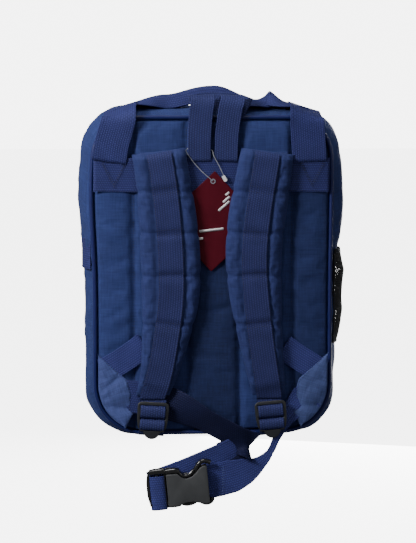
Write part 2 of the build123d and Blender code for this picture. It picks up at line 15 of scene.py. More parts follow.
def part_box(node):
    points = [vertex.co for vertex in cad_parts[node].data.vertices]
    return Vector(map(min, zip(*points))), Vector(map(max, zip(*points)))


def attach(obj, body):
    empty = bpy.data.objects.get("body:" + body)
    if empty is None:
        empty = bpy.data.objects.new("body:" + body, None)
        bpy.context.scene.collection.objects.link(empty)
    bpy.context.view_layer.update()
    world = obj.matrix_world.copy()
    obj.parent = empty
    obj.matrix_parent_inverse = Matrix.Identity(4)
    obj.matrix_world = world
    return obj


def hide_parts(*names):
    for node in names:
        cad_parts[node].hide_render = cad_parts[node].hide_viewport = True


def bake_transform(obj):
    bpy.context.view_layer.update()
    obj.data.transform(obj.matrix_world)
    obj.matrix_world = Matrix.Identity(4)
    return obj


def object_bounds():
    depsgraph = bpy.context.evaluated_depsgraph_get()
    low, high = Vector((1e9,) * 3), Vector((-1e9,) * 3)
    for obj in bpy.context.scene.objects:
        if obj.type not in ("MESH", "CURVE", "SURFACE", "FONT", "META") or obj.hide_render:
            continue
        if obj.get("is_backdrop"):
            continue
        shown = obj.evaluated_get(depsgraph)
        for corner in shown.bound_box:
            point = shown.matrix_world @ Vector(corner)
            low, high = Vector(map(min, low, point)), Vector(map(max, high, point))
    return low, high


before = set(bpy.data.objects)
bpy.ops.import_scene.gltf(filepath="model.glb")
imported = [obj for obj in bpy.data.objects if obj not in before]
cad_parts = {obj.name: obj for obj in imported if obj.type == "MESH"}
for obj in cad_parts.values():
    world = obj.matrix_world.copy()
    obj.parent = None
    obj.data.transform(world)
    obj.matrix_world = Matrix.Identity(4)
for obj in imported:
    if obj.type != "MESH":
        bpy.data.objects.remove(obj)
cad_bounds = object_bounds()

MM = 0.001
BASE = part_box("rear_shell")[0].z
R_LOW, R_HIGH = 75.0, 60.0  # corner radii of the pack's outline
PUFF = 3.5  # how far gusset fabric swells past its seams
ZIP_Y = 75.0  # depth of the main zip
SHELL_T = 4.0  # thickness of the shells' padded cloth
SEAMS = (0.0, 70.0, 80.0, 150.0)  # depths of the edges at which the shells are sewn
VIEW_HEIGHT = 543 * 1.47  # height of the view at the pack
FACING = (0, -1, 0)  # out of the wearer's side


def at(x, y, h):
    return np.array([x * MM, y * MM, BASE + h * MM])


def mm_box(node):
    """Corners of a CAD node in millimetres, with heights above the base."""
    return [np.array([c.x / MM, c.y / MM, (c.z - BASE) / MM]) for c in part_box(node)]


REAR_HALF = mm_box("rear_piping")[1][0]
REAR_TOP = mm_box("rear_piping")[1][2]
MID_HALF = mm_box("zip_rear")[1][0]
MID_TOP = mm_box("zip_rear")[1][2]
PAD_FACE = mm_box("back_pad")[0][1]
BAND_LOW, BAND_HIGH = mm_box("shoulder_band")[0][2], mm_box("shoulder_band")[1][2]
STRAP_BACK = mm_box("strap_left")[1][1]
STRAP_FACE = mm_box("strap_left")[0][1]


def placed(name, data):
    """A new object in the scene."""
    made = bpy.data.objects.new(name, data)
    bpy.context.scene.collection.objects.link(made)
    return made


# ---------------------------------------------------------------- camera
def make_camera():
    """The pack seen from the wearer's side, a little from the left and from above."""
    azimuth, elevation, distance = math.radians(4), math.radians(5), 3.1
    target = Vector(at(-7, 0, 241))
    level = math.cos(elevation)
    away = Vector((-math.sin(azimuth) * level, -math.cos(azimuth) * level, math.sin(elevation)))
    data = bpy.data.cameras.new("camera")
    camera = placed("camera", data)
    camera.location = target + away * distance
    camera.rotation_euler = (-away).to_track_quat("-Z", "Y").to_euler()
    data.sensor_fit = "VERTICAL"
    data.angle = 2 * math.atan(0.5 * VIEW_HEIGHT * MM / distance)
    bpy.context.scene.camera = camera


# ---------------------------------------------------------------- materials
class Shader:
    """A Principled material whose nodes are added by short calls."""

    def __init__(self, name, colour, roughness, **sockets):
        self.material = bpy.data.materials.new(name)
        self.material.use_nodes = True
        self.tree = self.material.node_tree
        self.bsdf = self.tree.nodes["Principled BSDF"]
        self.bsdf.inputs["Base Color"].default_value = (*colour, 1)
        self.bsdf.inputs["Roughness"].default_value = roughness
        for socket, value in sockets.items():
            self.bsdf.inputs[socket.replace("_", " ")].default_value = value

    def node(self, kind, **inputs):
        made = self.tree.nodes.new("ShaderNode" + kind)
        for socket, value in inputs.items():
            self.feed(made.inputs[socket.replace("_", " ")], value)
        return made

    def feed(self, socket, value):
        if isinstance(value, bpy.types.NodeSocket):
            self.tree.links.new(value, socket)
        else:
            socket.default_value = value

    def math(self, operation, first, second=0.0, third=None):
        made = self.tree.nodes.new("ShaderNodeMath")
        made.operation = operation
        self.feed(made.inputs[0], first)
        self.feed(made.inputs[1], second)
        if third is not None:
            self.feed(made.inputs[2], third)
        return made.outputs[0]

    def place(self):
        return self.node("TexCoord").outputs["Object"]

    def noise(self, scale, detail=2.0):
        return self.node("TexNoise", Vector=self.place(), Scale=scale, Detail=detail).outputs["Fac"]

    def uv(self):
        split = self.node("SeparateXYZ", Vector=self.node("UVMap").outputs[0])
        return split.outputs[0], split.outputs[1]

    def streaks(self, across, along):
        """Uneven threads: noise drawn out along the second direction, sizes in mm."""
        u, v = self.uv()
        u, v = self.math("DIVIDE", u, across * MM), self.math("DIVIDE", v, along * MM)
        place = self.node("CombineXYZ", X=u, Y=v).outputs[0]
        return self.node("TexNoise", Vector=place, Scale=1.0, Detail=2.0).outputs["Fac"]

    def tint(self, fac, colour, low, high):
        """Base colour from low to high times the given one, by fac."""
        mix = self.tree.nodes.new("ShaderNodeMix")
        mix.data_type = "RGBA"
        self.feed(mix.inputs[0], fac)
        mix.inputs[6].default_value = (*scaled(colour, low), 1)
        mix.inputs[7].default_value = (*scaled(colour, high), 1)
        self.tree.links.new(mix.outputs[2], self.bsdf.inputs["Base Color"])

    def dim(self, distance, near, far, factor):
        """Darkens the base colour to factor where distance (m) is under near, fading out to far (mm)."""
        fade = self.node("MapRange", Value=distance, To_Min=factor, From_Min=near * MM, From_Max=far * MM)
        fade.interpolation_type = "SMOOTHSTEP"
        socket = self.bsdf.inputs["Base Color"]
        scale = self.node("VectorMath")
        scale.operation = "SCALE"
        self.tree.links.new(socket.links[0].from_socket, scale.inputs[0])
        self.tree.links.new(fade.outputs[0], scale.inputs["Scale"])
        self.tree.links.new(scale.outputs[0], socket)

    def bump(self, height, distance, strength):
        made = self.node("Bump", Height=height, Distance=distance, Strength=strength)
        self.tree.links.new(made.outputs[0], self.bsdf.inputs["Normal"])


def scaled(colour, factor):
    return tuple(c * factor for c in colour)


def fabric(name, colour, roughness, sheen, sheen_roughness, sheen_tint, level):
    cloth = Shader(name, colour, roughness, Sheen_Weight=sheen, Sheen_Roughness=sheen_roughness)
    cloth.bsdf.inputs["Sheen Tint"].default_value = (*sheen_tint, 1)
    cloth.bsdf.inputs["Specular IOR Level"].default_value = level
    return cloth


def woven_shader(name, colour, thread=1.5):
    """Plain-woven pack cloth: crossing threads, slubs, and slow fading over the panel."""
    cloth = fabric(name, colour, 0.72, 0.06, 0.5, (0.35, 0.45, 0.9), 0.15)
    u, v = cloth.uv()
    turn = 2 * math.pi / (thread * MM)
    warp = cloth.math("SINE", cloth.math("MULTIPLY", u, turn))
    weft = cloth.math("SINE", cloth.math("MULTIPLY", v, turn))
    weave = cloth.math("MULTIPLY", warp, weft)
    slub = cloth.noise(900, 3)
    fade = cloth.noise(11, 3)
    threads = cloth.math("ADD", cloth.streaks(2.2, 26), cloth.streaks(26, 2.2))
    blotch = cloth.math("MULTIPLY_ADD", weave, 0.16, cloth.math("MULTIPLY_ADD", threads, 0.85, -0.7))
    fac = cloth.math("MULTIPLY_ADD", fade, 0.45, cloth.math("MULTIPLY_ADD", slub, 0.25, blotch))
    cloth.tint(fac, colour, 0.6, 1.4)
    cloth.bump(cloth.math("MULTIPLY_ADD", threads, 1.5, weave), 0.3 * MM, 0.6)
    return cloth


def woven(*args, **settings):
    return woven_shader(*args, **settings).material


def back_panel_painted_shade_cloth():
    """The back panel's cloth, with painted shade darkening its middle channel and its right edge."""
    cloth = woven_shader("panel_cloth_painted_shade", PACK_BLUE)
    x = cloth.node("SeparateXYZ", Vector=cloth.place()).outputs[0]
    # painted shade: the middle channel darkened to 0.56, as if in the shadow of the straps
    cloth.dim(cloth.math("ABSOLUTE", x), 30, 42, 0.56)
    # painted shade: darkened to 0.72 from x = 124 mm, fading out by x = 104 mm, as if far from the key lamp at
    # the left
    cloth.dim(cloth.math("SUBTRACT", 0.0, x), -124, -104, 0.72)
    return cloth.material


def ribbed_shader(name, colour, rib=3.3):
    """Webbing: raised ribs (rib mm apart) along its length, crossed by staggered weft bars."""
    tape = fabric(name, colour, 0.66, 0.03, 0.4, (0.4, 0.45, 0.9), 0.12)
    u, v = tape.uv()
    across = tape.math("MULTIPLY", v, 1 / (rib * MM))
    ridge = tape.math("ABSOLUTE", tape.math("SINE", tape.math("MULTIPLY", across, math.pi)))
    shift = tape.math("MULTIPLY", tape.math("FLOOR", across), 0.5)
    along = tape.math("MULTIPLY_ADD", u, 1 / (3.4 * MM), shift)
    weft = tape.math("SINE", tape.math("MULTIPLY", along, 2 * math.pi))
    height = tape.math("MULTIPLY", ridge, tape.math("MULTIPLY_ADD", weft, 0.35, 0.65))
    wear = tape.noise(35, 4)
    fac = tape.math("MULTIPLY_ADD", height, 0.65, tape.math("MULTIPLY", wear, 0.4))
    tape.tint(fac, colour, 0.4, 1.6)
    tape.bump(height, 0.55 * MM, 0.8)
    return tape


def ribbed(*args, **settings):
    return ribbed_shader(*args, **settings).material


def belt_webbing_with_painted_shade():
    """The left belt strand's webbing, with painted shade darkening its middle where it hangs under the strap
    and the pack.
    """
    tape = ribbed_shader("belt_webbing_painted_shade", WEB_BLUE)
    x = tape.node("SeparateXYZ", Vector=tape.place()).outputs[0]
    # painted shade: darkened to 0.36 within 56 mm of x = -10 mm, fading out by 82 mm
    tape.dim(tape.math("ABSOLUTE", tape.math("ADD", x, 10 * MM)), 56, 82, 0.36)
    return tape.material


def moulded(name, colour, roughness, grain=0.02, coat=0.0, level=0.5):
    """Injection-moulded plastic with a fine spark-eroded grain and handling marks."""
    plastic = Shader(name, colour, roughness, Coat_Weight=coat, Coat_Roughness=0.15)
    plastic.bsdf.inputs["Specular IOR Level"].default_value = level
    scuff = plastic.noise(60, 5)
    plastic.tint(scuff, colour, 0.8, 1.25)
    rough = plastic.math("MULTIPLY_ADD", scuff, 0.16, roughness - 0.08)
    plastic.tree.links.new(rough, plastic.bsdf.inputs["Roughness"])
    plastic.bump(plastic.noise(3500, 2), grain * MM, 0.6)
    return plastic.material


PACK_BLUE = (0.023, 0.037, 0.136)
STRAP_BLUE = (0.023, 0.033, 0.122)
WEB_BLUE = (0.025, 0.030, 0.118)
NARROW_BLUE = (0.024, 0.029, 0.104)

SKIN = {
    "pack": woven("pack_cloth", PACK_BLUE),
    "panel": back_panel_painted_shade_cloth(),
    "strap": woven("strap_cloth", STRAP_BLUE, thread=1.3),
    "wing": woven("wing_cloth", (0.059, 0.080, 0.235), thread=1.3),
    # painted shade: a darker copy of the wing cloth for the right wing, on the side away from the key lamp
    "wing_shade": woven("wing_cloth_shaded", (0.056, 0.077, 0.210), thread=1.3),
    "wide": ribbed("wide_webbing_weave", WEB_BLUE),
    "shade": belt_webbing_with_painted_shade(),
    # painted light: the belt webbing made 1.4 times lighter, as if brightly lit, for the belt's return and
    # right strand, the buckle's wrap and the lower webbing
    "belt": ribbed("belt_webbing_lit", scaled(WEB_BLUE, 1.4)),
    "narrow": ribbed("narrow_webbing_weave", NARROW_BLUE, rib=3.6),
    "piping": moulded("piping_vinyl", (0.009, 0.013, 0.080), 0.42, coat=0.05, level=0.2),
    "thread": moulded("sewing_thread", (0.008, 0.011, 0.045), 0.7),
    "pale_thread": moulded("pale_thread", (0.10, 0.13, 0.26), 0.7),
    "lining": woven("lining_cloth", (0.060, 0.070, 0.100), thread=1.3),
    "board": moulded("board_sheet", (0.10, 0.105, 0.115), 0.5),
    "black": woven("black_binding", (0.011, 0.011, 0.012), thread=1.4),
    "mesh": moulded("mesh_yarn", (0.010, 0.010, 0.011), 0.6),
    "tape": woven("zip_tape_cloth", (0.009, 0.012, 0.036), thread=0.9),
    "coil": moulded("zip_coil", (0.007, 0.008, 0.022), 0.35),
    "metal": moulded("slider_enamel", (0.016, 0.016, 0.018), 0.3, coat=0.4),
    "lock": moulded("lock_acetal", (0.015, 0.016, 0.019), 0.38, coat=0.15),
    "buckle": moulded("buckle_acetal", (0.038, 0.040, 0.043), 0.55, grain=0.06),
    "prong": moulded("prong_acetal", (0.006, 0.006, 0.007), 0.2, coat=0.5),
    "card": moulded("tag_card_stock", (0.066, 0.0025, 0.009), 0.55, level=0.12),
    "ink": moulded("tag_print", (0.62, 0.60, 0.60), 0.6),
    "cord": moulded("tag_cord_cotton", (0.20, 0.21, 0.25), 0.8),
    "bead": moulded("tag_bead_plastic", (0.70, 0.71, 0.72), 0.35),
}


# ---------------------------------------------------------------- mesh helpers
def face_outwards(mesh):
    cage = bmesh.new()
    cage.from_mesh(mesh)
    bmesh.ops.recalc_face_normals(cage, faces=cage.faces)
    cage.to_mesh(mesh)
    cage.free()
    mesh.polygons.foreach_set("use_smooth", [True] * len(mesh.polygons))


def make_object(name, verts, faces, skin, body, slot, uv=None, replaces=()):
    """A smooth-shaded piece that rides on a body."""
    mesh = bpy.data.meshes.new(name)
    mesh.from_pydata([tuple(v) for v in verts], [], [tuple(f) for f in faces])
    mesh.validate()
    if uv is not None:
        layer = mesh.uv_layers.new(name="UVMap")
        index = np.zeros(len(mesh.loops), int)
        mesh.loops.foreach_get("vertex_index", index)
        layer.data.foreach_set("uv", np.asarray(uv, float)[index].ravel())
    face_outwards(mesh)
    mesh.materials.append(SKIN[skin])
    piece = placed(name, mesh)
    if body:
        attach(piece, body)
    if replaces:
        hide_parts(*replaces)
    return piece


def resample(points, count):
    """count points evenly spaced along a smooth curve through the given rows of numbers."""
    p = np.asarray(points, float)
    ends = np.vstack([2 * p[0] - p[1], p, 2 * p[-1] - p[-2]])
    t = np.linspace(0, 1, 12, endpoint=False)[:, None]
    dense = [
        0.5 * (2 * b + (c - a) * t + (2 * a - 5 * b + 4 * c - d) * t**2 + (3 * b - a - 3 * c + d) * t**3)
        for a, b, c, d in zip(ends, ends[1:], ends[2:], ends[3:])
    ]
    return spaced(np.vstack([*dense, p[-1:]]), count)


def spaced(points, count):
    """count points evenly spaced along a polyline, measured on its first three numbers."""
    points = np.asarray(points, float)
    steps = np.linalg.norm(np.diff(points[:, :3], axis=0), axis=1)
    run = np.concatenate([[0], np.cumsum(steps)])
    wanted = np.linspace(0, run[-1], count)
    return np.stack([np.interp(wanted, run, points[:, k]) for k in range(points.shape[1])], 1)


def unit(v):
    return v / np.maximum(np.linalg.norm(v, axis=-1, keepdims=True), 1e-12)


def grid_faces(rows, cols, wrap=False, start=0, flip=False):
    i = np.arange(rows - 1)[:, None]
    j = np.arange(cols if wrap else cols - 1)[None, :]
    k = (j + 1) % cols
    quads = np.stack([i * cols + j, (i + 1) * cols + j, (i + 1) * cols + k, i * cols + k], -1)
    quads = quads.reshape(-1, 4) + start
    return quads[:, ::-1] if flip else quads


def metric_uv(grid):
    """Flat size of a grid in metres: u along its rows, v across its columns from the middle."""
    rows, cols = grid.shape[:2]
    middle = grid[:, cols // 2]
    u = np.concatenate([[0], np.cumsum(np.linalg.norm(np.diff(middle, axis=0), axis=1))])
    across = np.cumsum(np.linalg.norm(np.diff(grid, axis=1), axis=2), axis=1)
    v = np.concatenate([np.zeros((rows, 1)), across], axis=1)
    v -= v[:, cols // 2][:, None]
    return np.stack([np.repeat(u[:, None], cols, 1), v], -1)


def solid(name, grid, depth, skin, body, slot, replaces=()):
    """A sheet with thickness: grid is its outer face, depth the offset of its inner face in metres.

    Its rim is rounded by drawing the border of both faces together."""
    rows, cols = grid.shape[:2]
    depth = np.broadcast_to(np.asarray(depth, float), grid.shape)
    edge = np.zeros((rows, cols), bool)
    edge[0], edge[-1], edge[:, 0], edge[:, -1] = True, True, True, True
    front, back = grid.copy(), grid + depth
    front[edge] += 0.35 * depth[edge]
    back[edge] -= 0.35 * depth[edge]
    verts = np.vstack([front.reshape(-1, 3), back.reshape(-1, 3)])
    count = rows * cols
    rim = np.concatenate([
        np.arange(cols),
        np.arange(1, rows) * cols + cols - 1,
        np.arange(cols - 2, -1, -1) + (rows - 1) * cols,
        np.arange(rows - 2, 0, -1) * cols,
    ])
    after = np.roll(rim, -1)
    faces = [
        *grid_faces(rows, cols),
        *grid_faces(rows, cols, start=count, flip=True),
        *np.stack([rim, after, after + count, rim + count], 1),
    ]
    uv = metric_uv(grid).reshape(-1, 2)
    return make_object(name, verts, faces, skin, body, slot, np.vstack([uv, uv]), replaces)


EDGE_STEPS = np.array([-1, -0.985, -0.94, -0.8, -0.6, -0.4, -0.2, 0, 0.2, 0.4, 0.6, 0.8, 0.94, 0.985, 1])
SEAM_COLUMNS = (2, 12)  # columns of webbing that are sewn


def ribbon_grid(path, width, across=None, facing=FACING, step=4.0):
    """Outer face of webbing along rows of (x, y, height), and its outward normals.

    across is the direction of its width, one for all rows or one each; without it, the face lies across
    the facing direction."""
    path = np.asarray(path, float)
    if across is None:
        rows = path
    else:
        across = np.broadcast_to(np.asarray(across, float), (len(path), 3))
        rows = np.hstack([path, across])
    length = np.linalg.norm(np.diff(path, axis=0), axis=1).sum()
    rows = resample(rows, max(6, int(length / step)))
    centre = np.array([at(*p) for p in rows[:, :3]])
    tangent = unit(np.gradient(centre, axis=0))
    if across is None:
        side = unit(np.cross(tangent, np.asarray(facing, float)))
    else:
        side = rows[:, 3:]
        side = unit(side - (side * tangent).sum(1, keepdims=True) * tangent)
    normal = unit(np.cross(side, tangent))
    widths = np.atleast_1d(np.asarray(width, float))
    half = np.interp(np.linspace(0, 1, len(rows)), np.linspace(0, 1, len(widths)), widths) * MM / 2
    grid = centre[:, None] + side[:, None] * (half[:, None] * EDGE_STEPS)[..., None]
    return grid, normal


def wavy(grid, normal, amount, seed):
    """Small slack in webbing: a slow wander of its face, mostly at its edges."""
    for i in range(grid.shape[0]):
        for j in range(grid.shape[1]):
            edge = 0.4 + 0.6 * abs(EDGE_STEPS[j])
            spot = Vector(grid[i, j]) / 0.05 + Vector((seed, 0, 0))
            grid[i, j] += normal[i] * noise.noise(spot) * amount * MM * edge


def webbing(
    name, path, width, skin, body, slot, across=None, facing=FACING, thick=1.5, slack=0.5, replaces=(), seed=1.0
):
    """A strip of webbing with thickness, its outer face and its normals."""
    grid, normal = ribbon_grid(path, width, across, facing)
    wavy(grid, normal, slack, seed)
    inward = -normal[:, None] * thick * MM
    piece = solid(name, grid, inward, skin, body, slot, replaces)
    return piece, grid, normal


def tube_mesh(points, radius, sides=10, closed=False):
    """Verts, faces and uv of a round tube along points in metres."""
    p = np.asarray(points, float)
    if closed:
        tangent = unit(np.roll(p, -1, 0) - np.roll(p, 1, 0))
    else:
        tangent = unit(np.gradient(p, axis=0))
    first = np.cross(tangent, (0.0, 1.0, 0.0))
    weak = np.linalg.norm(first, axis=1) < 0.05
    first[weak] = np.cross(tangent[weak], (1.0, 0.0, 0.0))
    first = unit(first)
    second = np.cross(tangent, first)
    radii = np.broadcast_to(np.asarray(radius, float), (len(p),))
    angle = np.linspace(0, 2 * math.pi, sides, endpoint=False)
    ring = first[:, None] * np.cos(angle)[None, :, None] + second[:, None] * np.sin(angle)[None, :, None]
    verts = (p[:, None] + ring * radii[:, None, None]).reshape(-1, 3)
    faces = [tuple(f) for f in grid_faces(len(p), sides, wrap=True)]
    last = (len(p) - 1) * sides
    if closed:
        faces += [(last + k, k, (k + 1) % sides, last + (k + 1) % sides) for k in range(sides)]
    else:
        faces += [tuple(range(sides))[::-1], tuple(range(last, last + sides))]
    along = np.concatenate([[0], np.cumsum(np.linalg.norm(np.diff(p, axis=0), axis=1))])
    around = angle * radii.mean()
    uv = np.stack(np.meshgrid(along, around, indexing="ij"), -1).reshape(-1, 2)
    return verts, faces, uv


def rounded(points, cut, steps=6):
    """A closed outline with each corner rounded, starting cut (mm) before it."""
    p = np.asarray(points, float)
    ring = []
    for before, corner, after in zip(np.roll(p, 1, 0), p, np.roll(p, -1, 0)):
        start = corner + (before - corner) * min(0.48, cut / np.linalg.norm(before - corner))
        end = corner + (after - corner) * min(0.48, cut / np.linalg.norm(after - corner))
        for t in np.linspace(0, 1, steps):
            ring.append((1 - t) ** 2 * start + 2 * t * (1 - t) * corner + t * t * end)
    return ring


def slot_hole(low, high, half, half_low):
    """A slot with rounded corners, given by its heights and its half widths at the top and the bottom."""
    return rounded([(-half_low, low), (half_low, low), (half, high), (-half, high)], 1.5, 4)


def plate(name, rim, holes, near, far, bevel, place, skin, body, slot, replaces=()):
    """A moulded plate with rounded edges between two depths; place() puts its (x, y, depth) in the frame."""
    curve = bpy.data.curves.new(name, "CURVE")
    curve.dimensions = "2D"
    curve.fill_mode = "BOTH"
    curve.extrude = (abs(far - near) / 2 - bevel) * MM
    curve.bevel_depth = bevel * MM
    curve.bevel_resolution = 2
    curve.offset = -bevel * MM
    for ring in (rim, *holes):
        spline = curve.splines.new("POLY")
        spline.points.add(len(ring) - 1)
        for point, (x, y) in zip(spline.points, ring):
            point.co = (x * MM, y * MM, 0, 1)
        spline.use_cyclic_u = True
    shape = placed(name + "_shape", curve)
    made = bpy.data.meshes.new_from_object(shape.evaluated_get(bpy.context.evaluated_depsgraph_get()))
    cage = bmesh.new()
    cage.from_mesh(made)
    bmesh.ops.remove_doubles(cage, verts=cage.verts, dist=1e-6)
    local = [v.co.copy() for v in cage.verts]
    faces = [[v.index for v in f.verts] for f in cage.faces]
    cage.free()
    bpy.data.objects.remove(shape)
    bpy.data.meshes.remove(made)
    bpy.data.curves.remove(curve)
    verts = [place(c.x / MM, c.y / MM, (near + far) / 2 + c.z / MM) for c in local]
    piece = make_object(name, verts, faces, skin, body, slot, [(c.x, c.y) for c in local], replaces)
    piece.data.set_sharp_from_angle(angle=math.radians(40))
    return piece


def bar(name, path, radius, deep, place, skin, body, slot, replaces=()):
    """A smooth bar along rows of (x, y, depth), deep times as thick in depth as in the plane."""
    centre = np.array([place(*row) for row in resample(path, 40)])
    verts, faces, uv = tube_mesh(centre, radius * MM, 14)
    verts = verts.reshape(len(centre), -1, 3)
    verts[..., 1] = centre[:, None, 1] + (verts[..., 1] - centre[:, None, 1]) * deep
    return make_object(name, verts.reshape(-1, 3), faces, skin, body, slot, uv, replaces)


STITCHES = {}  # corners of every stitch, by body and skin


def stitch(body, points, normals, pitch=4.0, length=2.7, radius=0.45, skin="thread", lift=0.1):
    """A row of thread along points in metres, laid on the surface whose normals are given."""
    points = np.asarray(points, float)
    normals = np.broadcast_to(np.asarray(normals, float), (len(points), 3))
    total = np.linalg.norm(np.diff(points, axis=0), axis=1).sum()
    rows = spaced(np.hstack([points, normals]), max(2, int(total / (pitch * MM))))
    centre, normal = rows[:, :3], unit(rows[:, 3:])
    along = unit(np.gradient(centre, axis=0))
    side = np.cross(along, normal)
    r, half = radius * MM, length * MM / 2
    centre = centre + normal * lift * MM
    corners = (-along * half, side * r, normal * r, -side * r, along * half)
    STITCHES.setdefault((body, skin), []).append(np.stack([centre + c for c in corners], 1))


def sew_edges(body, grid, normals, first, last, **settings):
    """Thread along both edges of webbing, from one of its rows to another."""
    for column in SEAM_COLUMNS:
        stitch(body, grid[first:last, column], normals, **settings)


def sew_ring(body, ring, out):
    """Thread round a closed row of points, with its ends left open at the base."""
    stitch(body, ring[out:-out], unit(ring - ring.mean(0))[out:-out])


def finish_stitches():
    for (body, skin), groups in STITCHES.items():
        corners = np.vstack(groups)
        verts = corners.reshape(-1, 3)
        one = np.array([[0, 1, 2], [0, 2, 3], [4, 2, 1], [4, 3, 2], [0, 3, 1], [4, 1, 3]])
        faces = (one[None] + 5 * np.arange(len(corners))[:, None, None]).reshape(-1, 3)
        make_object(f"stitching_{body}_{skin}", verts, faces, skin, body, "narrow_webbing")


INFLATE_FRAMES = 20


def inflate(piece, pinned, pressure, slack, limit):
    """Swells a sewn pad by cloth simulation: seams stay put, and no point moves over limit (mm)."""
    scene = bpy.context.scene
    group = piece.vertex_groups.new(name="seams")
    group.add([int(i) for i in pinned], 1.0, "REPLACE")
    rest = np.zeros(len(piece.data.vertices) * 3)
    piece.data.vertices.foreach_get("co", rest)
    cloth = piece.modifiers.new("Cloth", "CLOTH")
    settings = cloth.settings
    settings.quality = 6
    settings.mass = 0.25
    settings.tension_stiffness = settings.compression_stiffness = 18
    settings.shear_stiffness = 8
    settings.bending_stiffness = 0.4
    settings.vertex_group_mass = group.name
    settings.use_pressure = True
    settings.uniform_pressure_force = pressure
    settings.shrink_min = -slack
    settings.effector_weights.gravity = 0
    cloth.point_cache.frame_start, cloth.point_cache.frame_end = 1, INFLATE_FRAMES
    for number in range(1, INFLATE_FRAMES + 1):
        scene.frame_set(number)
    solved = piece.evaluated_get(bpy.context.evaluated_depsgraph_get()).to_mesh()
    moved = np.zeros_like(rest)
    solved.vertices.foreach_get("co", moved)
    piece.modifiers.remove(cloth)
    scene.frame_set(1)
    shift = (moved - rest).reshape(-1, 3)
    size = np.linalg.norm(shift, axis=1, keepdims=True)
    shift *= np.minimum(1, limit * MM / np.maximum(size, 1e-9))
    piece.data.vertices.foreach_set("co", rest + shift.ravel())
    piece.data.update()


def smooth(t):
    t = np.clip(t, 0, 1)
    return t * t * (3 - 2 * t)


def dip(distance, width):
    """1 on a seam, falling to 0 at width."""
    return np.exp(-((np.asarray(distance, float) / width) ** 2))


def rumple(x, y, h, size, seed):
    return noise.noise(Vector((x / size + seed, y / size, h / size)))


# ---------------------------------------------------------------- the pack's shells
def outline(half, low, high, r_low, r_high, count=240):
    """Points (x, height) round a panel, anticlockwise from the middle of its base."""

    def corner(cx, ch, r, first):
        a = np.radians(np.linspace(first, first + 90, 16))
        return np.stack([cx + r * np.cos(a), ch + r * np.sin(a)], 1)

    ring = np.vstack([
        [[0, low]],
        corner(half - r_low, low + r_low, r_low, -90),
        corner(half - r_high, high - r_high, r_high, 0),
        corner(r_high - half, high - r_high, r_high, 90),
        corner(r_low - half, low + r_low, r_low, 180),
        [[0, low]],
    ])
    padded = np.hstack([ring, np.zeros((len(ring), 1))])
    return spaced(padded, count + 1)[:-1, :2]


def seam_share(y):
    """0 at the seam with either face of the pack, 1 at the zip."""
    lid_y = mm_box("lid_shell")[1][1]
    return max(0.0, min(1.0, y / ZIP_Y if y < ZIP_Y else (lid_y - y) / (lid_y - ZIP_Y)))


def looseness(y):
    t = seam_share(y)
    return smooth(t / 0.3) * (1 - 0.5 * smooth((t - 0.8) / 0.2))


def bow(x, h, loose=0.0):
    """How far the pack's sides lean out at a height; slack fabric between seams leans further."""
    reach = np.where(np.asarray(x) < 0, -5.3 - 2.2 * loose, 1.5 + 7.5 * loose)
    return reach * dip(np.asarray(h) - 352, 82) * np.minimum(1.1, np.abs(x) / REAR_HALF) ** 4


def shell_size(y):
    """Half width and top of the pack's outline at depth y, from either seam to the zip."""
    t = seam_share(y)
    swell = PUFF * math.sin(math.pi * min(1.0, t * 1.12))
    return (
        REAR_HALF + (MID_HALF - REAR_HALF) * t + swell,
        REAR_TOP + (MID_TOP - REAR_TOP - 1.2) * (1 - (1 - t) ** 2.2) + 1.5 * math.sin(math.pi * t),
    )


def shell_outline(y, inset=0.0):
    """Points (x, height) round the pack's shell at a depth."""
    half, top = shell_size(y)
    sharper = 11 * smooth(seam_share(y) / 0.2)
    ring = outline(half - inset, inset, top - inset, R_LOW - sharper - inset, R_HIGH - inset, 420)
    ring[:, 0] += bow(ring[:, 0], ring[:, 1], looseness(y))
    return ring


def shell_side(y, h, sign=1):
    """x of the pack's side at a depth and height."""
    half = shell_size(y)[0]
    return sign * half + float(bow(sign * half, h, looseness(y)))


def shell_ring(y, inset=0.0, seed=0.0, wrinkle=0.0):
    """Places round the shell at a depth, with its cloth rumpled and puckered next to the seams."""
    ring = shell_outline(y, inset)
    out = unit(ring - ring.mean(0))
    seam = min(abs(y - edge) for edge in SEAMS)
    result = []
    for k, ((x, h), (ox, oh)) in enumerate(zip(ring, out)):
        lump = wrinkle * (rumple(x, y, h, 70, seed) + 0.6 * rumple(x, y, h, 26, seed + 7))
        pucker = 0.5 * math.sin(1.15 * k + 5 * rumple(x, 0, h, 45, seed + 2)) * float(dip(seam - 6, 6))
        pucker *= wrinkle > 0
        side = max(0.0, abs(ox) - 0.2)
        result.append((x + ox * (lump * (0.4 + side) + pucker), y, h + oh * (lump * 0.5 + pucker)))
    return np.array(result)


def loft(rings, name, skin, body, slot, replaces, lead, tail):
    """Closed mesh through rings of the same count, each end filled from its middle.

    The first lead and last tail rings lie on a face of the pack, so their weave is laid flat."""
    rings = [np.array([at(*p) for p in ring]) for ring in rings]
    grid = np.stack(rings)
    rows, cols = grid.shape[:2]
    verts = [*grid.reshape(-1, 3), rings[0].mean(0), rings[-1].mean(0)]
    first, last = rows * cols, rows * cols + 1
    faces = [*map(tuple, grid_faces(rows, cols, wrap=True))]
    faces += [(j, (j + 1) % cols, first) for j in range(cols)]
    end = (rows - 1) * cols
    faces += [(end + (j + 1) % cols, end + j, last) for j in range(cols)]
    around = np.concatenate([[0], np.cumsum(np.linalg.norm(np.diff(rings[0], axis=0), axis=1))])
    depth = np.concatenate([[0], np.cumsum(np.linalg.norm(np.diff(grid[:, 0], axis=0), axis=1))])
    uv = np.stack(np.meshgrid(depth, around, indexing="ij"), -1)
    for k in (*range(lead), *range(rows - tail, rows)):
        uv[k] = grid[k][:, ::2]
    uv = np.vstack([uv.reshape(-1, 2), [verts[first][::2], verts[last][::2]]])
    return make_object(name, verts, faces, skin, body, slot, uv, replaces)


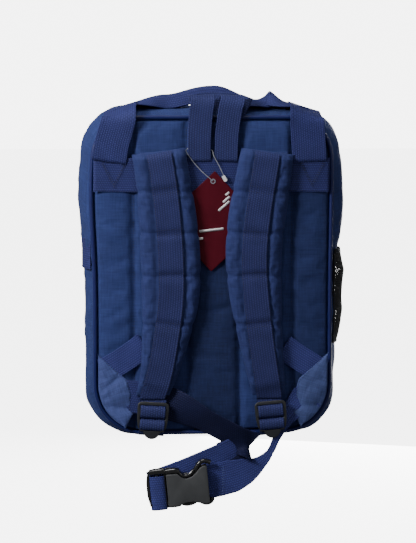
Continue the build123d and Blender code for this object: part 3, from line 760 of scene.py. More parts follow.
def shrunk(ring, share, y):
    """A ring drawn towards its middle, at depth y."""
    middle = ring.mean(0)
    inner = middle + (ring - middle) * share
    inner[:, 1] = y
    return inner


WRINKLE, SEWN_WRINKLE = 3.6, 0.6  # how far cloth wanders between seams, and at them


def half_rings(first, last, seed):
    """Rings of one half of the pack from depth first to last, smoother next to its two seams."""
    slack = (first + 4, last - 4)
    return [
        shell_ring(y, wrinkle=WRINKLE if slack[0] < y < slack[1] else SEWN_WRINKLE, seed=seed)
        for y in np.linspace(first, last, 27)
    ]


def hollow(depths):
    """Inner rings of a half, from its open side to its closed face."""
    rings = [shell_ring(y, inset=SHELL_T) for y in depths]
    return rings + [shrunk(rings[-1], 0.99, depths[-1])]


def sew_shell(body, depths, seed):
    for y in depths:
        sew_ring(body, np.array([at(*p) for p in shell_ring(y, inset=-0.35, wrinkle=WRINKLE, seed=seed)]), 6)


def make_rear_shell():
    outer = half_rings(0, 70, 0.0)
    start = [shrunk(outer[0], s, 0.3) for s in (0.9, 0.97)]
    rings = start + outer + hollow((69.6, 40, 4.2))
    loft(rings, "rear_pack_shell", "pack", "root", "pack_fabric", ("rear_shell",), 2, 1)
    sew_shell("root", (5.5, 66.5), 0.0)


def crown(share, rise, lump):
    """How far a bulging face stands out where its rings have shrunk to a share of its outline."""
    return rise * (1 - share**6) + lump * (1 - share**8)


def make_lid():
    """The front half, crowned but for the flat that the front pocket and its zip lie on."""
    lid_y = mm_box("lid_shell")[1][1]
    outer = half_rings(80, lid_y, 3)
    low, high = mm_box("front_pocket")
    front = []
    for share in (0.985, 0.96, 0.92, 0.88, 0.84, 0.8, 0.76, 0.72, 0.68, 0.64, 0.6, 0.5, 0.3, 0.12):
        ring = shrunk(outer[-1], share, lid_y)
        for p in ring:
            under = smooth((min(high[0] - abs(p[0]), p[2] - low[2], high[2] + 28 - p[2]) + 32) / 20)
            bulge = crown(share, 4.0, 2.2 * rumple(p[0], 0, p[2], 90, 5))
            p[1] += bulge * (1 - under) - 0.2 * under
        front.append(ring)
    rings = hollow((80.4, 110, lid_y - 4.3))[::-1] + outer + front
    loft(rings, "lid_pack_shell", "pack", "lid", "pack_fabric", ("lid_shell",), 1, len(front))
    sew_shell("lid", (83.5, lid_y - 5.5), 3)


def make_piping():
    for node, body in (("rear_piping", "root"), ("front_piping", "lid")):
        low, high = mm_box(node)
        y, r = (low[1] + high[1]) / 2, (high[1] - low[1]) / 2
        ring = outline(high[0] - r, low[2] + r, high[2] - r, R_LOW - r, R_HIGH - r, 360)
        ring[:, 0] += bow(ring[:, 0], ring[:, 1])
        points = [at(x, y + 0.25 * rumple(x, 0, h, 30, 2), h + 0.3 * rumple(x, 0, h, 40, 9)) for x, h in ring]
        verts, faces, uv = tube_mesh(points, r * MM, 14, closed=True)
        make_object(f"{node}_cord", verts, faces, "piping", body, "piping", uv, (node,))


def tooth_row(name, edge, out, depth, body):
    """Zip teeth at points along an edge, standing along out and reaching along depth."""
    along = unit(np.gradient(edge, axis=0))
    verts, faces = [], []
    for centre, o, a, reach in zip(edge, out, along, np.broadcast_to(depth, edge.shape)):
        k = len(verts)
        for s, t in ((-1, -1), (1, -1), (1, 1), (-1, 1)):
            spot = centre + a * s * 0.55 * MM + reach * (1 + t) * MM
            verts += [spot - o * 0.5 * MM, spot + o * (0.55 - 0.1 * t) * MM]
        faces += [(k + 1, k + 3, k + 5, k + 7), (k, k + 6, k + 4, k + 2)]
        faces += [(k, k + 2, k + 3, k + 1), (k + 2, k + 4, k + 5, k + 3)]
        faces += [(k + 4, k + 6, k + 7, k + 5), (k + 6, k, k + 1, k + 7)]
    make_object(name, verts, faces, "coil", body, "zip_tape")


def make_zips():
    """Tape halves sewn into the cloth, with a coil of teeth along each meeting edge."""
    tapes = (
        ("zip_rear", "root", 1, ((67.5, 1.6), (70.5, 1.6), (73, 1.8), (75.2, 2.0))),
        ("zip_lid", "lid", -1, ((82.5, 2.0), (79.5, 2.0), (77, 2.2), (74.8, 2.4))),
    )
    middle = at(0, 75, MID_TOP / 2)
    for node, body, sign, rows in tapes:
        cut = mm_box(node)[0][2]
        rings = []
        for y, inset in rows:
            ring = shell_outline(y, inset)
            ring = ring[ring[:, 1] > cut + 1]
            rings.append(spaced(np.insert(ring, 1, y, axis=1), 300))
        grid = np.stack([np.array([at(*p) for p in ring]) for ring in rings]).transpose(1, 0, 2)
        inward = -unit(grid - middle)
        inward[..., 1] = 0
        solid(f"{node}_tape", grid, inward * 1.4 * MM, "tape", body, "zip_tape", (node,))
        edge = spaced(np.array([at(*p) for p in rings[-1]]), 640)
        out = unit(edge - middle)
        out[:, 1] = 0
        tooth_row(f"{node}_teeth", edge + out * 0.9 * MM, out, np.array([0.0, -sign * 1.0, 0.0]), body)


def make_base_hinge():
    """The fabric that joins the two halves along the base."""
    low, high = mm_box("hinge_gusset")
    half = ((0, 1.0), (2.5, 0.6), (5, -0.4), (9, -0.8), (13, -0.6))
    rows = [(ZIP_Y - y, h) for y, h in half[:0:-1]] + [(ZIP_Y + y, h) for y, h in half]
    columns = np.linspace(low[0] + 2, high[0] - 2, 60)
    grid = np.array([[at(x, y, h) for x in columns] for y, h in rows])
    thick = (0, 0, 1.2 * MM)
    piece = solid("base_hinge_cloth", grid[::-1], thick, "pack", None, "pack_fabric", ("hinge_gusset",))
    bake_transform(piece)


# ---------------------------------------------------------------- the padded back
QUILTS = (-116, -39, 39, 116)  # x of the sewn lines between its channels
PAD_RADII = (67, 52)  # of its lower and upper corners


def panel_half(h, half, low, high, r_low, r_high):
    """Half width of a rounded panel at height h."""
    if h < low + r_low:
        return half - r_low + math.sqrt(max(0.0, r_low**2 - (low + r_low - h) ** 2))
    if h > high - r_high:
        return half - r_high + math.sqrt(max(0.0, r_high**2 - (h - high + r_high) ** 2))
    return half


def closer_at_ends(low, high, near, far, count):
    """Levels from low to high: the near ones from each end, and count even ones between far of each."""
    near = np.array(near)
    return np.concatenate([low + near, np.linspace(low + far, high - far, count), high - near[::-1]])


def pin_front(pinned, cols):
    """Numbers of grid points as solid() numbers them once the grid's columns are turned round."""
    return [(k // cols) * cols + (cols - 1 - k % cols) for k in pinned]


def make_back_panel():
    """Five padded channels between sewn lines, puckered along every seam."""
    low, high = mm_box("back_pad")
    columns = np.unique(np.concatenate([np.linspace(-1, 1, 91), [-1 + 0.012, 1 - 0.012, -1 + 0.03, 1 - 0.03]]))
    heights = closer_at_ends(low[2], high[2], (0, 1, 3), 7, 118)
    grid = np.zeros((len(heights), len(columns), 3))
    pinned = []
    for i, h in enumerate(heights):
        half = panel_half(h, high[0], low[2], high[2], *PAD_RADII)
        for j, s in enumerate(columns):
            x = s * half
            edge = min(half - abs(x), (h - low[2]) * 1.2, (high[2] - h) * 1.2)
            rise = 4.4 + 4.4 * (1 - math.exp(-max(0.0, edge) / 9))
            seam = min(abs(x - q) for q in QUILTS)
            rise -= 4.4 * dip(seam, 5.0)
            pucker = math.sin(h / 5.5 + 3 * rumple(x, 0, h, 40, 1)) * dip(seam - 7, 7)
            rise += 0.25 * pucker + 0.8 * rumple(x, 0, h, 70, 4) + 0.45 * rumple(x, 0, h, 24, 6)
            grid[i, j] = at(x + bow(x, h), -0.3 - rise, h)
            if seam < 2.4 or edge < 3:
                pinned.append(i * len(columns) + j)
    depth = np.zeros_like(grid)
    depth[..., 1] = (-0.3 * MM) - grid[..., 1]
    piece = solid("back_panel", grid[:, ::-1], depth[:, ::-1], "panel", "root", "pack_fabric", ("back_pad",))
    total = grid.shape[0] * len(columns)
    inflate(piece, pin_front(pinned, len(columns)) + list(range(total, 2 * total)), 0.8, 0.01, 0.7)
    for q in QUILTS:
        line = [at(q, -4.7, h) for h in np.linspace(low[2] + 14, high[2] - 10, 60)]
        stitch("root", line, FACING, radius=0.6)


# ---------------------------------------------------------------- webbing on the back
def make_band_and_legs():
    y = PAD_FACE - 2.0
    middle = (BAND_LOW + BAND_HIGH) / 2
    path = [(x, y + 0.8 * (abs(x) > 150), middle + 0.8 * math.sin(x / 40)) for x in np.linspace(-175, 171, 15)]
    _, grid, _ = webbing(
        "shoulder_band_webbing", path, 50, "wide", "root", "wide_webbing", slack=0.8,
        replaces=("shoulder_band",)
    )
    sew_edges("root", grid, FACING, 2, -2)
    for side in (-1, 1):
        tip = np.array([side * 145.0, BAND_LOW + 8])
        for arm in (-1, 1):
            far = np.array([tip[0] + arm * 17, BAND_HIGH - 5])
            for shift in (0, 4.5):
                a, b = tip + [0, shift], far + [0, min(0, shift - 4.5)]
                line = [at(px, y - 1.0, ph) for px, ph in (a + (b - a) * t for t in np.linspace(0, 1, 12))]
                stitch("root", line, FACING, pitch=3.2, length=3.1, radius=0.6)
    for side, name in ((-1, "left"), (1, "right")):
        lean = 9 if side < 0 else 2
        x = -148 if side < 0 else 139.5
        # how far it has leant inwards, depth, height, and droop of its outer edge
        rows = np.array([
            (-0.45, -0.6, BAND_HIGH - 6, 0), (0, -0.8, 428, 0), (0.7, -1.0, 450, 0.08), (1.1, -0.2, 463, 0.24),
            (1.3, 4.5, 470.5, 0.36), (1.4, 13, 475, 0.38), (1.5, 26, 479, 0.36), (1.5, 44, 482, 0.32),
        ])
        piece, grid, _ = webbing(
            f"handle_leg_{name}", [(x - side * lean * r[0], y + r[1], r[2]) for r in rows], 50, "wide", None,
            "wide_webbing", across=[(-1, 0, side * r[3]) for r in rows], slack=0.9, seed=5 + side,
            replaces=("handle_legs",) if side < 0 else (),
        )
        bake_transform(piece)
        stitch("root", grid[1, 1:-1], FACING)
        sew_edges("root", grid, FACING, 1, 10)


def make_carry_handle():
    """The haul handle: flat over the legs, folded in half along its length where the hand goes."""
    # ridge x, depth and height, the angle between its two halves, and the lean of its fold
    ridge = (
        (-156, 36, 472, 178, 0), (-140, 36, 480.5, 176, 0), (-122, 36, 487, 168, 0), (-106, 35, 492.5, 140, 4),
        (-92, 34, 497.5, 95, 6), (-76, 34, 501.5, 44, 8), (-56, 34, 503.5, 26, 8), (-24, 34, 512, 22, 6),
        (0, 34, 515, 20, 5), (18, 34, 513, 22, 6), (40, 34, 503.5, 36, 8), (54, 34, 496.5, 95, 6),
        (68, 34, 494, 130, 0), (78, 33, 499, 80, -8), (86, 32, 507, 44, -16), (94, 30, 502, 70, -10),
        (106, 30, 492, 130, 0), (124, 34, 486.5, 168, 0), (140, 36, 481, 176, 0), (156, 36, 472.5, 178, 0),
    )
    rows = resample(ridge, 110)
    spine = np.array([at(*r[:3]) for r in rows])
    tangent = unit(np.gradient(spine, axis=0))
    lean = np.radians(rows[:, 4])
    up = np.stack([np.zeros(len(rows)), np.sin(lean), np.cos(lean)], 1)
    up = unit(up - (up * tangent).sum(1, keepdims=True) * tangent)
    side = np.cross(tangent, up)
    half = np.radians(rows[:, 3])[:, None] / 2
    sag = 1.6 * MM * np.cos(np.linspace(-1, 1, len(EDGE_STEPS)) * math.pi / 2) ** 4
    grid = (
        spine[:, None]
        - side[:, None] * (24 * MM * np.sin(half) * EDGE_STEPS)[..., None]
        - up[:, None] * (24 * MM * np.cos(half) * np.abs(EDGE_STEPS))[..., None]
        - up[:, None] * (sag * np.cos(half))[..., None]
    )
    normal = unit(np.cross(np.gradient(grid, axis=1), np.gradient(grid, axis=0)))
    normal *= np.sign((normal * up[:, None]).sum(-1).mean())
    solid("haul_handle", grid, -normal * 1.6 * MM, "wide", "carry_handle", "wide_webbing", ("carry_handle",))
    for j in (3, 11):
        stitch("carry_handle", grid[36:76, j], normal[36:76, j])


def make_hang_loop():
    """Two legs of narrow webbing that fold back over the top, and the turn behind them."""
    y = PAD_FACE - 3.2
    legs = (
        ("left", ((-20.5, 403), (-20.5, 440), (-18.5, 468), (-16.5, 484)), -15.5),
        ("right", ((18.5, 403), (19.5, 440), (23.0, 468), (26.0, 484)), 28.5),
    )
    for name, low, top_x in legs:
        rows = [(x, y - 0.6 * (h > 410), h) for x, h in low]
        turn = ((1.5, 492), (7, 497), (14, 498), (20.5, 494), (22, 486))
        rows += [(top_x, y + back, h) for back, h in turn]
        _, grid, _ = webbing(
            f"hang_loop_{name}", rows, (33, 36), "narrow", "root", "narrow_webbing",
            across=(-1, 0, 0), slack=0.7, seed=8, replaces=("hang_loop",) if name == "left" else (),
        )
        sew_edges("root", grid, FACING, 1, 14)
        stitch("root", grid[1, 1:-1], FACING, lift=0.4)
    rows = ((-32, 19, 484), (-10, 24.5, 487.5), (14, 25.2, 487.5), (36, 24, 485.5), (52, 17, 480))
    webbing(
        "hang_loop_turn", [(x, y + back, h) for x, back, h in rows], 34, "narrow", "root", "narrow_webbing",
        facing=(0, -0.93, 0.3), slack=0.8, seed=11,
    )


# ---------------------------------------------------------------- shoulder straps
TACKS = (360, 299, 236.7, 164.6)  # heights of the rows sewn across each strap


def from_tack(h):
    return min(abs(h - t) for t in TACKS)


def span_at(node, h):
    """Least and greatest x of a CAD node at a height, in mm."""
    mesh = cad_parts[node].data
    co = np.zeros(len(mesh.vertices) * 3)
    mesh.vertices.foreach_get("co", co)
    co = co.reshape(-1, 3) / MM
    edges = np.zeros(len(mesh.edges) * 2, int)
    mesh.edges.foreach_get("vertices", edges)
    a, b = co[edges.reshape(-1, 2)[:, 0]], co[edges.reshape(-1, 2)[:, 1]]
    level = h + BASE / MM
    cross = (a[:, 2] - level) * (b[:, 2] - level) <= 0
    cross &= np.abs(a[:, 2] - b[:, 2]) > 1e-6
    a, b = a[cross], b[cross]
    t = (level - a[:, 2]) / (b[:, 2] - a[:, 2])
    x = a[:, 0] + (b[:, 0] - a[:, 0]) * t
    return x.min(), x.max()


def strap_face(h, s, low, high):
    """How far the strap's outer face stands off its inner face, for s from -1 to 1 across it."""
    full = STRAP_BACK - STRAP_FACE
    width = np.interp(h, [60, 110, 418], [0.78, 0.92, 1.0])
    side = (1 - abs(s) ** 5) ** 0.5
    rise = full * width * side
    web = 0.47 / np.interp(h, [60, 130, 418], [0.58, 0.85, 1.0])
    rise -= 2.0 * dip(abs(s) - web, 0.07) + 1.0 * smooth((web - abs(s)) / 0.08)
    rise -= 2.6 * dip(from_tack(h), 3.4) * side
    rise -= (full - 4) * smooth((h - (high - 9)) / 9) * 0.8
    rise -= (full - 5) * smooth(((low + 17) - h) / 17) * 0.72
    return max(rise, 1.5)


def make_strap(side):
    node = f"strap_{side}"
    low, high = mm_box(node)
    low_h, high_h = low[2], high[2]
    levels = closer_at_ends(low_h, high_h, (0, 1.5, 4), 7, 104)
    columns = np.concatenate([[-1, -0.985, -0.95], np.linspace(-0.9, 0.9, 29), [0.95, 0.985, 1]])
    sign = -1 if side == "left" else 1
    grid = np.zeros((len(levels), len(columns), 3))
    pinned = []
    for i, h in enumerate(levels):
        left, right = span_at(node, min(max(h, low_h + 0.2), high_h - 0.2))
        centre, half = (left + right) / 2, (right - left) / 2
        for j, s in enumerate(columns):
            x = centre + s * half
            tilt = -sign * s * 5.0 * smooth((h - 385) / 33)
            rise = strap_face(h, s, low_h, high_h) + 0.5 * rumple(x, 0, h, 25, 3 + sign)
            nip = (1.8 * dip(from_tack(h), 5) - 1.2) * abs(s) ** 3
            grid[i, j] = at(x - np.sign(s) * nip, STRAP_BACK - rise, h + tilt)
            seam = abs(s) < 0.52 or from_tack(h) < 1.8
            if seam or abs(s) > 0.93 or i < 3 or i > len(levels) - 4:
                pinned.append(i * len(columns) + j)
    depth = np.zeros_like(grid)
    depth[..., 1] = STRAP_BACK * MM - grid[..., 1]
    piece = solid(
        f"shoulder_strap_{side}", grid[:, ::-1], depth[:, ::-1], "strap", f"strap_{side}",
        "strap_fabric", (node,)
    )
    total = grid.shape[0] * len(columns)
    inflate(piece, pin_front(pinned, len(columns)) + list(range(total, 2 * total)), 2.4, 0.04, 2.0)
    make_strap_webbing(side, low_h, high_h)


def make_strap_webbing(side, low_h, high_h):
    node = f"strap_{side}"
    rows = []
    for h in np.linspace(low_h - 6.5, high_h - 1.5, 62):
        left, right = span_at(node, max(h, low_h + 0.5))
        centre = (left + right) / 2
        rise = strap_face(h, 0.2, low_h, high_h) + 1.9
        y = STRAP_BACK - rise + 0.6 * dip(from_tack(h), 4)
        rows.append((centre, min(y, np.interp(h, [53, 60, 78], [-20.6, -21.8, -25])), h))
    _, grid, normal = webbing(
        f"strap_webbing_{side}_face", rows[::-1], 37, "narrow", f"strap_{side}", "narrow_webbing", slack=0.5,
        seed=13, replaces=(f"strap_webbing_{side}",),
    )
    sew_edges(f"strap_{side}", grid, normal[2:-2], 2, -2, radius=0.55, lift=0.15)
    for tack in TACKS:
        i = int(np.argmin(np.abs(grid[:, 7, 2] - (BASE + tack * MM))))
        for row in (grid[i - 1], grid[i + 1]):
            stitch(f"strap_{side}", row[1:-1], normal[i], pitch=3.2, length=2.4, lift=0.25)


# ---------------------------------------------------------------- the rest
def make_wings():
    """Corner patches that hold the belt and the lower shoulder webbing."""
    for side, name in ((-1, "left"), (1, "right")):
        edge = ((171, 122), (149, 102), (126, 82), (121.5, 62), (122, 38), (117, 34), (124, 22), (131, 8))
        rows, cols = 40, 26
        inner = spaced([(side * x, h, 0) for x, h in edge], rows)
        ring = outline(REAR_HALF - 7, 7, REAR_TOP - 7, R_LOW - 7, R_HIGH - 7, 720)
        ring = np.array([p for p in ring if side * p[0] > 128 and p[1] < 122])
        ring = ring[np.argsort(-ring[:, 1])]
        outer = spaced([(x, h, 0) for x, h in ring], rows)
        grid = np.zeros((rows, cols, 3))
        for i in range(rows):
            for j in range(cols):
                t = j / (cols - 1)
                x, h, _ = inner[i] * (1 - t) + outer[i] * t
                puff = 2.6 * math.sin(math.pi * t) ** 0.6
                puff += 1.9 * rumple(x, 0, h, 26, 3) + 1.2 * rumple(x, 0, h, 11, 8)
                puff -= (1.8 * dip(h - 41 - 0.1 * (abs(x) - 120), 3)
                         + 1.1 * dip(h - 96 + 0.9 * (abs(x) - 130), 3.5))
                grid[i, j] = at(x, PAD_FACE - 2.6 - max(puff, 0), h)
        grid = grid[:, ::-side]
        # the right wing takes the copy of its cloth darkened as painted shade
        skin, column = ("wing", 1) if side < 0 else ("wing_shade", -2)
        solid(f"wing_patch_{name}", grid, (0, 2.2 * MM, 0), skin, "root", "pack_fabric", (f"wing_{name}",))
        stitch("root", grid[1:-1, column], FACING, lift=0.4)


def make_adjusters():
    """Webbing from each wing, and its hidden stretch up behind the strap."""
    y = PAD_FACE - 2.2
    routes = (
        ("left", -1, ((-164, 96), (-150, 102), (-124, 118), (-100, 136))),
        ("right", 1, ((163, 92), (152, 98), (128, 113), (104, 130))),
    )
    for side, sign, points in routes:
        webbing(
            f"lower_webbing_{side}", [(x, y, h) for x, h in points], 37, "belt", "root", "narrow_webbing",
            slack=1.0, seed=17, replaces=(f"adjuster_{side}",),
        )
        riser = [(sign * x, STRAP_BACK + back, h)
                 for x, back, h in ((79, 1.6, 132), (81, 1.6, 100), (86, 1.4, 64))]
        webbing(
            f"lower_riser_{side}", riser, 36, "narrow", f"strap_{side}", "narrow_webbing", slack=0.2, seed=19,
            replaces=(f"adjuster_riser_{side}",), thick=1.2,
        )


LOCK_PLACES = {"left": (-92.0, -4), "right": (87.0, 5)}  # middle on the base line, and tilt in degrees


def lock_right(side):
    """A ladder lock's own width direction."""
    tilt = math.radians(LOCK_PLACES[side][1])
    return np.array([math.cos(tilt), 0, math.sin(tilt)])


def lock_rows(side, rows):
    """Rows of (local x, depth behind the lock's outer face, local height) as (x, y, height)."""
    middle, face, (c, _, s) = LOCK_PLACES[side][0], mm_box(f"ladder_lock_{side}")[0][1], lock_right(side)
    return [(middle + c * x - s * h, face + depth, s * x + c * h) for x, depth, h in rows]


def mirrored(half):
    """A closed outline from its right half, given from the top down."""
    return [*half, *((-x, y) for x, y in half[::-1])]


LOCK_HALF = ((19, 51.7), (23.2, 48), (22.8, 26), (20.5, 12), (13.5, 9), (9, 0), (3, -3.2))
LOCK_SLOTS = ((41, 46.8, 18.9, 18.9), (25, 31, 18.6, 18.6), (9.5, 15.5, 18.2, 17.4))
STRAP_END = (
    (1, 6.6, 58), (0.6, 6.1, 54), (0, 4.6, 48.6), (0, 1.0, 46.0), (0, -1.6, 43.5), (0, -2.3, 39),
    (0, -2.3, 34), (0, -1.7, 30), (0, 0.6, 27.8), (0, 3.4, 27.6), (0, 5.6, 31), (0, 5.9, 42),
)
LOCK_TAIL = (
    (0, 5.6, 31), (0, 3.6, 26.6), (0, 0.6, 25.6), (0, -1.7, 23.6), (0, -2.3, 20), (0, -2.3, 15),
    (0, -1.5, 11.4), (0, 1.2, 9.2), (0, 5.0, 9.4), (0, 6.2, 7), (0, 6.4, 4), (0, 6.2, 1.5),
)


def make_locks():
    """Ladder locks: the strap's end turns over the upper bar, and the adjuster's tail over the lower one."""
    rim = mirrored(LOCK_HALF)
    rim = [rim[-1], *rim[:-1]]
    for side in LOCK_PLACES:
        body = f"lock_{side}"
        plate(
            f"ladder_lock_frame_{side}", rounded(rim, 3.5), [slot_hole(*row) for row in LOCK_SLOTS],
            0.2, 4.0, 1.2, lambda x, h, depth, side=side: at(*lock_rows(side, [(x, depth, h)])[0]),
            "lock", body, "lock_plastic", (f"ladder_lock_{side}",),
        )
        for name, route, seed, node in (
            (f"strap_end_{side}", STRAP_END, 23, f"strap_end_loop_{side}"),
            (f"adjuster_tail_{side}_end", LOCK_TAIL, 29, f"adjuster_tail_{side}"),
        ):
            _, grid, normal = webbing(
                name, lock_rows(side, route), 36.6, "narrow", body, "narrow_webbing", across=-lock_right(side),
                slack=0.25, seed=seed, replaces=(node,),
            )
        stitch(body, grid[-2, 1:-1], normal[-2], lift=0.3)


def make_belt():
    """Waist belt: each side leaves its wing, passes behind its ladder lock and hangs to the buckle.

    Rows are x, depth and height, with the direction of the width where the webbing twists."""
    y = PAD_FACE - 2.4
    plane, tipped, back = (0.5, 0, 0.87), (0.40, -0.66, 0.64), (0.42, 0.1, 0.9)
    left = (
        (-132, y + 1.6, 60, *plane), (-104, y, 56, *plane), (-72, y - 1, 50, *plane),
        (-44, y - 6, 40, 0.46, -0.34, 0.80), (-14, y - 10.5, 25, *tipped), (14, y - 12.5, 10, *tipped),
        (34, y - 13, -1, *tipped), (47, y - 12, -9, 0.40, -0.5, 0.75), (52.5, y - 8, -14, 0.4, -0.2, 0.85),
        (48, y - 4, -19, *back), (34, y - 3.5, -25, *back), (14, y - 4.5, -34, *back),
    )
    # the left strand's webbing carries painted shade along its middle
    piece, _, _ = webbing(
        "belt_left_strand", [r[:3] for r in left], 48, "shade", None, "wide_webbing",
        across=[r[3:] for r in left], slack=1.2, seed=31, replaces=("belt_left_upper", "belt_left_bend"),
    )
    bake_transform(piece)
    left_back = (
        (38, y - 3.8, -23.5), (14, y - 5.5, -34.5), (-14, y - 7.5, -46), (-44, y - 9, -58), (-72, y - 9.5, -68),
        (-92, y - 9.5, -75),
    )
    piece, _, _ = webbing(
        "belt_left_return", left_back, 47, "belt", None, "wide_webbing", across=(0.38, 0, 0.92), slack=1.0,
        seed=37, replaces=("belt_left_lower", "belt_left_end"),
    )
    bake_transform(piece)
    right = (
        (148, y, 62), (130, y - 0.6, 48), (114, y - 2, 31), (102, y - 4, 12), (92, y - 9, -6),
        (85.5, y - 12, -20), (75, y - 13, -34), (58, y - 12.5, -47), (32, y - 12, -58.5),
        (2, y - 11.5, -66), (-14, y - 11, -68.5),
    )
    bunched = (46, 42, 28, 16, 11, 10, 20, 38, 49, 50, 50)
    piece, _, _ = webbing(
        "belt_right_strand", right, bunched, "belt", None, "wide_webbing", thick=2.4, slack=1.4, seed=41,
        replaces=("belt_right_upper", "belt_right_lower"),
    )
    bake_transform(piece)
    for along, skin in ((22, "pale_thread"), (25, "thread")):
        line = [buckle_at(60 + along + 0.1 * k, k, 8.2) for k in range(-22, 23)]
        stitch("belt", line, FACING, skin=skin, lift=0.6)


BUCKLE_TURN = math.radians(5.4)


def buckle_at(x, y, depth):
    """Point of the buckle: x from its mouth to the right strand, y up, depth in front of its inner face."""
    c, s = math.cos(BUCKLE_TURN), math.sin(BUCKLE_TURN)
    return at(-69 + x * c - y * s, -24 - depth, -74 + x * s + y * c)


BUCKLE_PLATES = (  # name, outline, rounding, near and far depth, bevel, skin, replaced nodes
    (
        "buckle_front",
        ((-0.5, -29), (17, -28), (22, -24.5), (37, -24), (43, -26.5), (57, -29.5), (60.5, -27),
         (60.5, 26), (56, 28), (50, 25), (44, 18.5), (37, 13), (30, 11), (24, 12), (19.5, 16),
         (17, 19.5), (-0.5, 20)),
        2.2, 9.6, 13.6, 1.3, "buckle", ("buckle_female",),
    ),
    (
        "buckle_rear",
        ((0, -30), (17, -29), (22, -23), (37, -22), (44, -26), (61, -29), (61, 29), (44, 26),
         (37, 18), (24, 18), (17, 27), (0, 29)),
        3, 0.3, 3.4, 1.2, "prong", (),
    ),
    (
        "buckle_core", ((0, -16), (46, -16), (60, -24), (60, 18), (48, 4), (20, 4), (0, 12)),
        2, 3.0, 10.0, 0.6, "prong", (),
    ),
)
BUCKLE_BARS = (  # name, path, radius, depth as a share of thickness, body, slot, replaced nodes
    ("buckle_rail_upper", ((-1, 23.5, 7.4), (6, 24, 7.8), (13, 24, 7.8), (18.5, 22.5, 7.2)), 4.6, 1.25, "belt",
     "buckle_plastic", ()),
    ("buckle_rail_lower", ((-1, -25.5, 6.5), (6, -26, 6.5), (12, -26, 6.5), (17, -25, 6.5)), 4.6, 1.25, "belt",
     "buckle_plastic", ()),
    ("buckle_horn_upper",
     ((43, 22, 8), (46.5, 27.5, 8), (51, 32.4, 8), (57, 34, 7.6), (63, 32.5, 7), (66, 31, 6.4)), 3.4, 1.2,
     "belt", "buckle_plastic", ()),
    ("buckle_horn_lower", ((48, -26, 6), (54, -28.5, 6), (59, -28.5, 6), (63, -26, 6), (65, -22, 6)), 3.4, 1.2,
     "belt", "buckle_plastic", ()),
    ("prong_upper_arm",
     ((-4, 17, 6.3), (6, 18, 6.3), (13, 20, 6.3), (18.5, 19.5, 6.3), (22.5, 15.2, 6.3), (29, 13.6, 6.3),
      (35.5, 16.2, 6.3), (41, 21.5, 6.3)), 3.2, 0.86, "prong_upper", "prong_plastic", ("buckle_prong_upper",)),
    ("prong_lower_arm",
     ((-4, -19, 6.3), (6, -20.5, 6.3), (13, -22.5, 6.3), (19, -25, 6.3), (25, -27.4, 6.3), (32, -27.4, 6.3),
      (38, -25.6, 6.3), (41, -22.5, 6.3)), 3.0, 0.9, "prong_lower", "prong_plastic", ("buckle_prong_lower",)),
)
MALE_RIM = (
    (-1, 29.5), (-21, 29.5), (-27.5, 24), (-30.3, 10), (-30.3, -10), (-27.5, -23), (-21, -30), (-1, -30),
)


def make_buckle():
    """Side-release buckle, its front plate narrower than the glossy rails and horns round it."""
    for name, rim, cut, near, far, bevel, skin, nodes in BUCKLE_PLATES:
        plate(name, rounded(rim, cut), [], near, far, bevel, buckle_at, skin, "belt", "buckle_plastic", nodes)
    for name, path, radius, deep, body, slot, nodes in BUCKLE_BARS:
        bar(name, path, radius, deep, buckle_at, "prong", body, slot, nodes)
    holes = [rounded([(a, -24), (b, -24), (b, 24), (a, 24)], 1.5, 4) for a, b in ((-25, -17.5), (-11, -5))]
    plate(
        "buckle_male_frame", rounded(MALE_RIM, 4), holes, 1.2, 10.5, 2.6, buckle_at, "prong", "buckle_male",
        "buckle_plastic", ("buckle_male",),
    )
    shoulder = ((-24, 24.6, 7.6), (-16, 25.2, 8.2), (-8, 25.2, 8.2), (-2, 24.6, 7.8))
    bar("buckle_male_shoulder", shoulder, 4.8, 1.15, buckle_at, "prong", "buckle_male", "buckle_plastic")
    wrap = ((8, -0.6), (-4, -1.0), (-18, -0.8), (-24.5, 2.0), (-26, 6.5), (-24, 11.2), (-18, 13.2), (-9, 13.4),
            (-3.4, 12.0), (-1.6, 8.5))
    rows = [(p - (0, 0, BASE)) / MM for p in (buckle_at(x, -6.5, depth) for x, depth in wrap)]
    across = (math.sin(BUCKLE_TURN), 0, -math.cos(BUCKLE_TURN))
    webbing("buckle_wrap", rows, 50, "belt", "buckle_male", "wide_webbing", across=across, slack=0.4, seed=43)


TAG_SIDE = 104.0


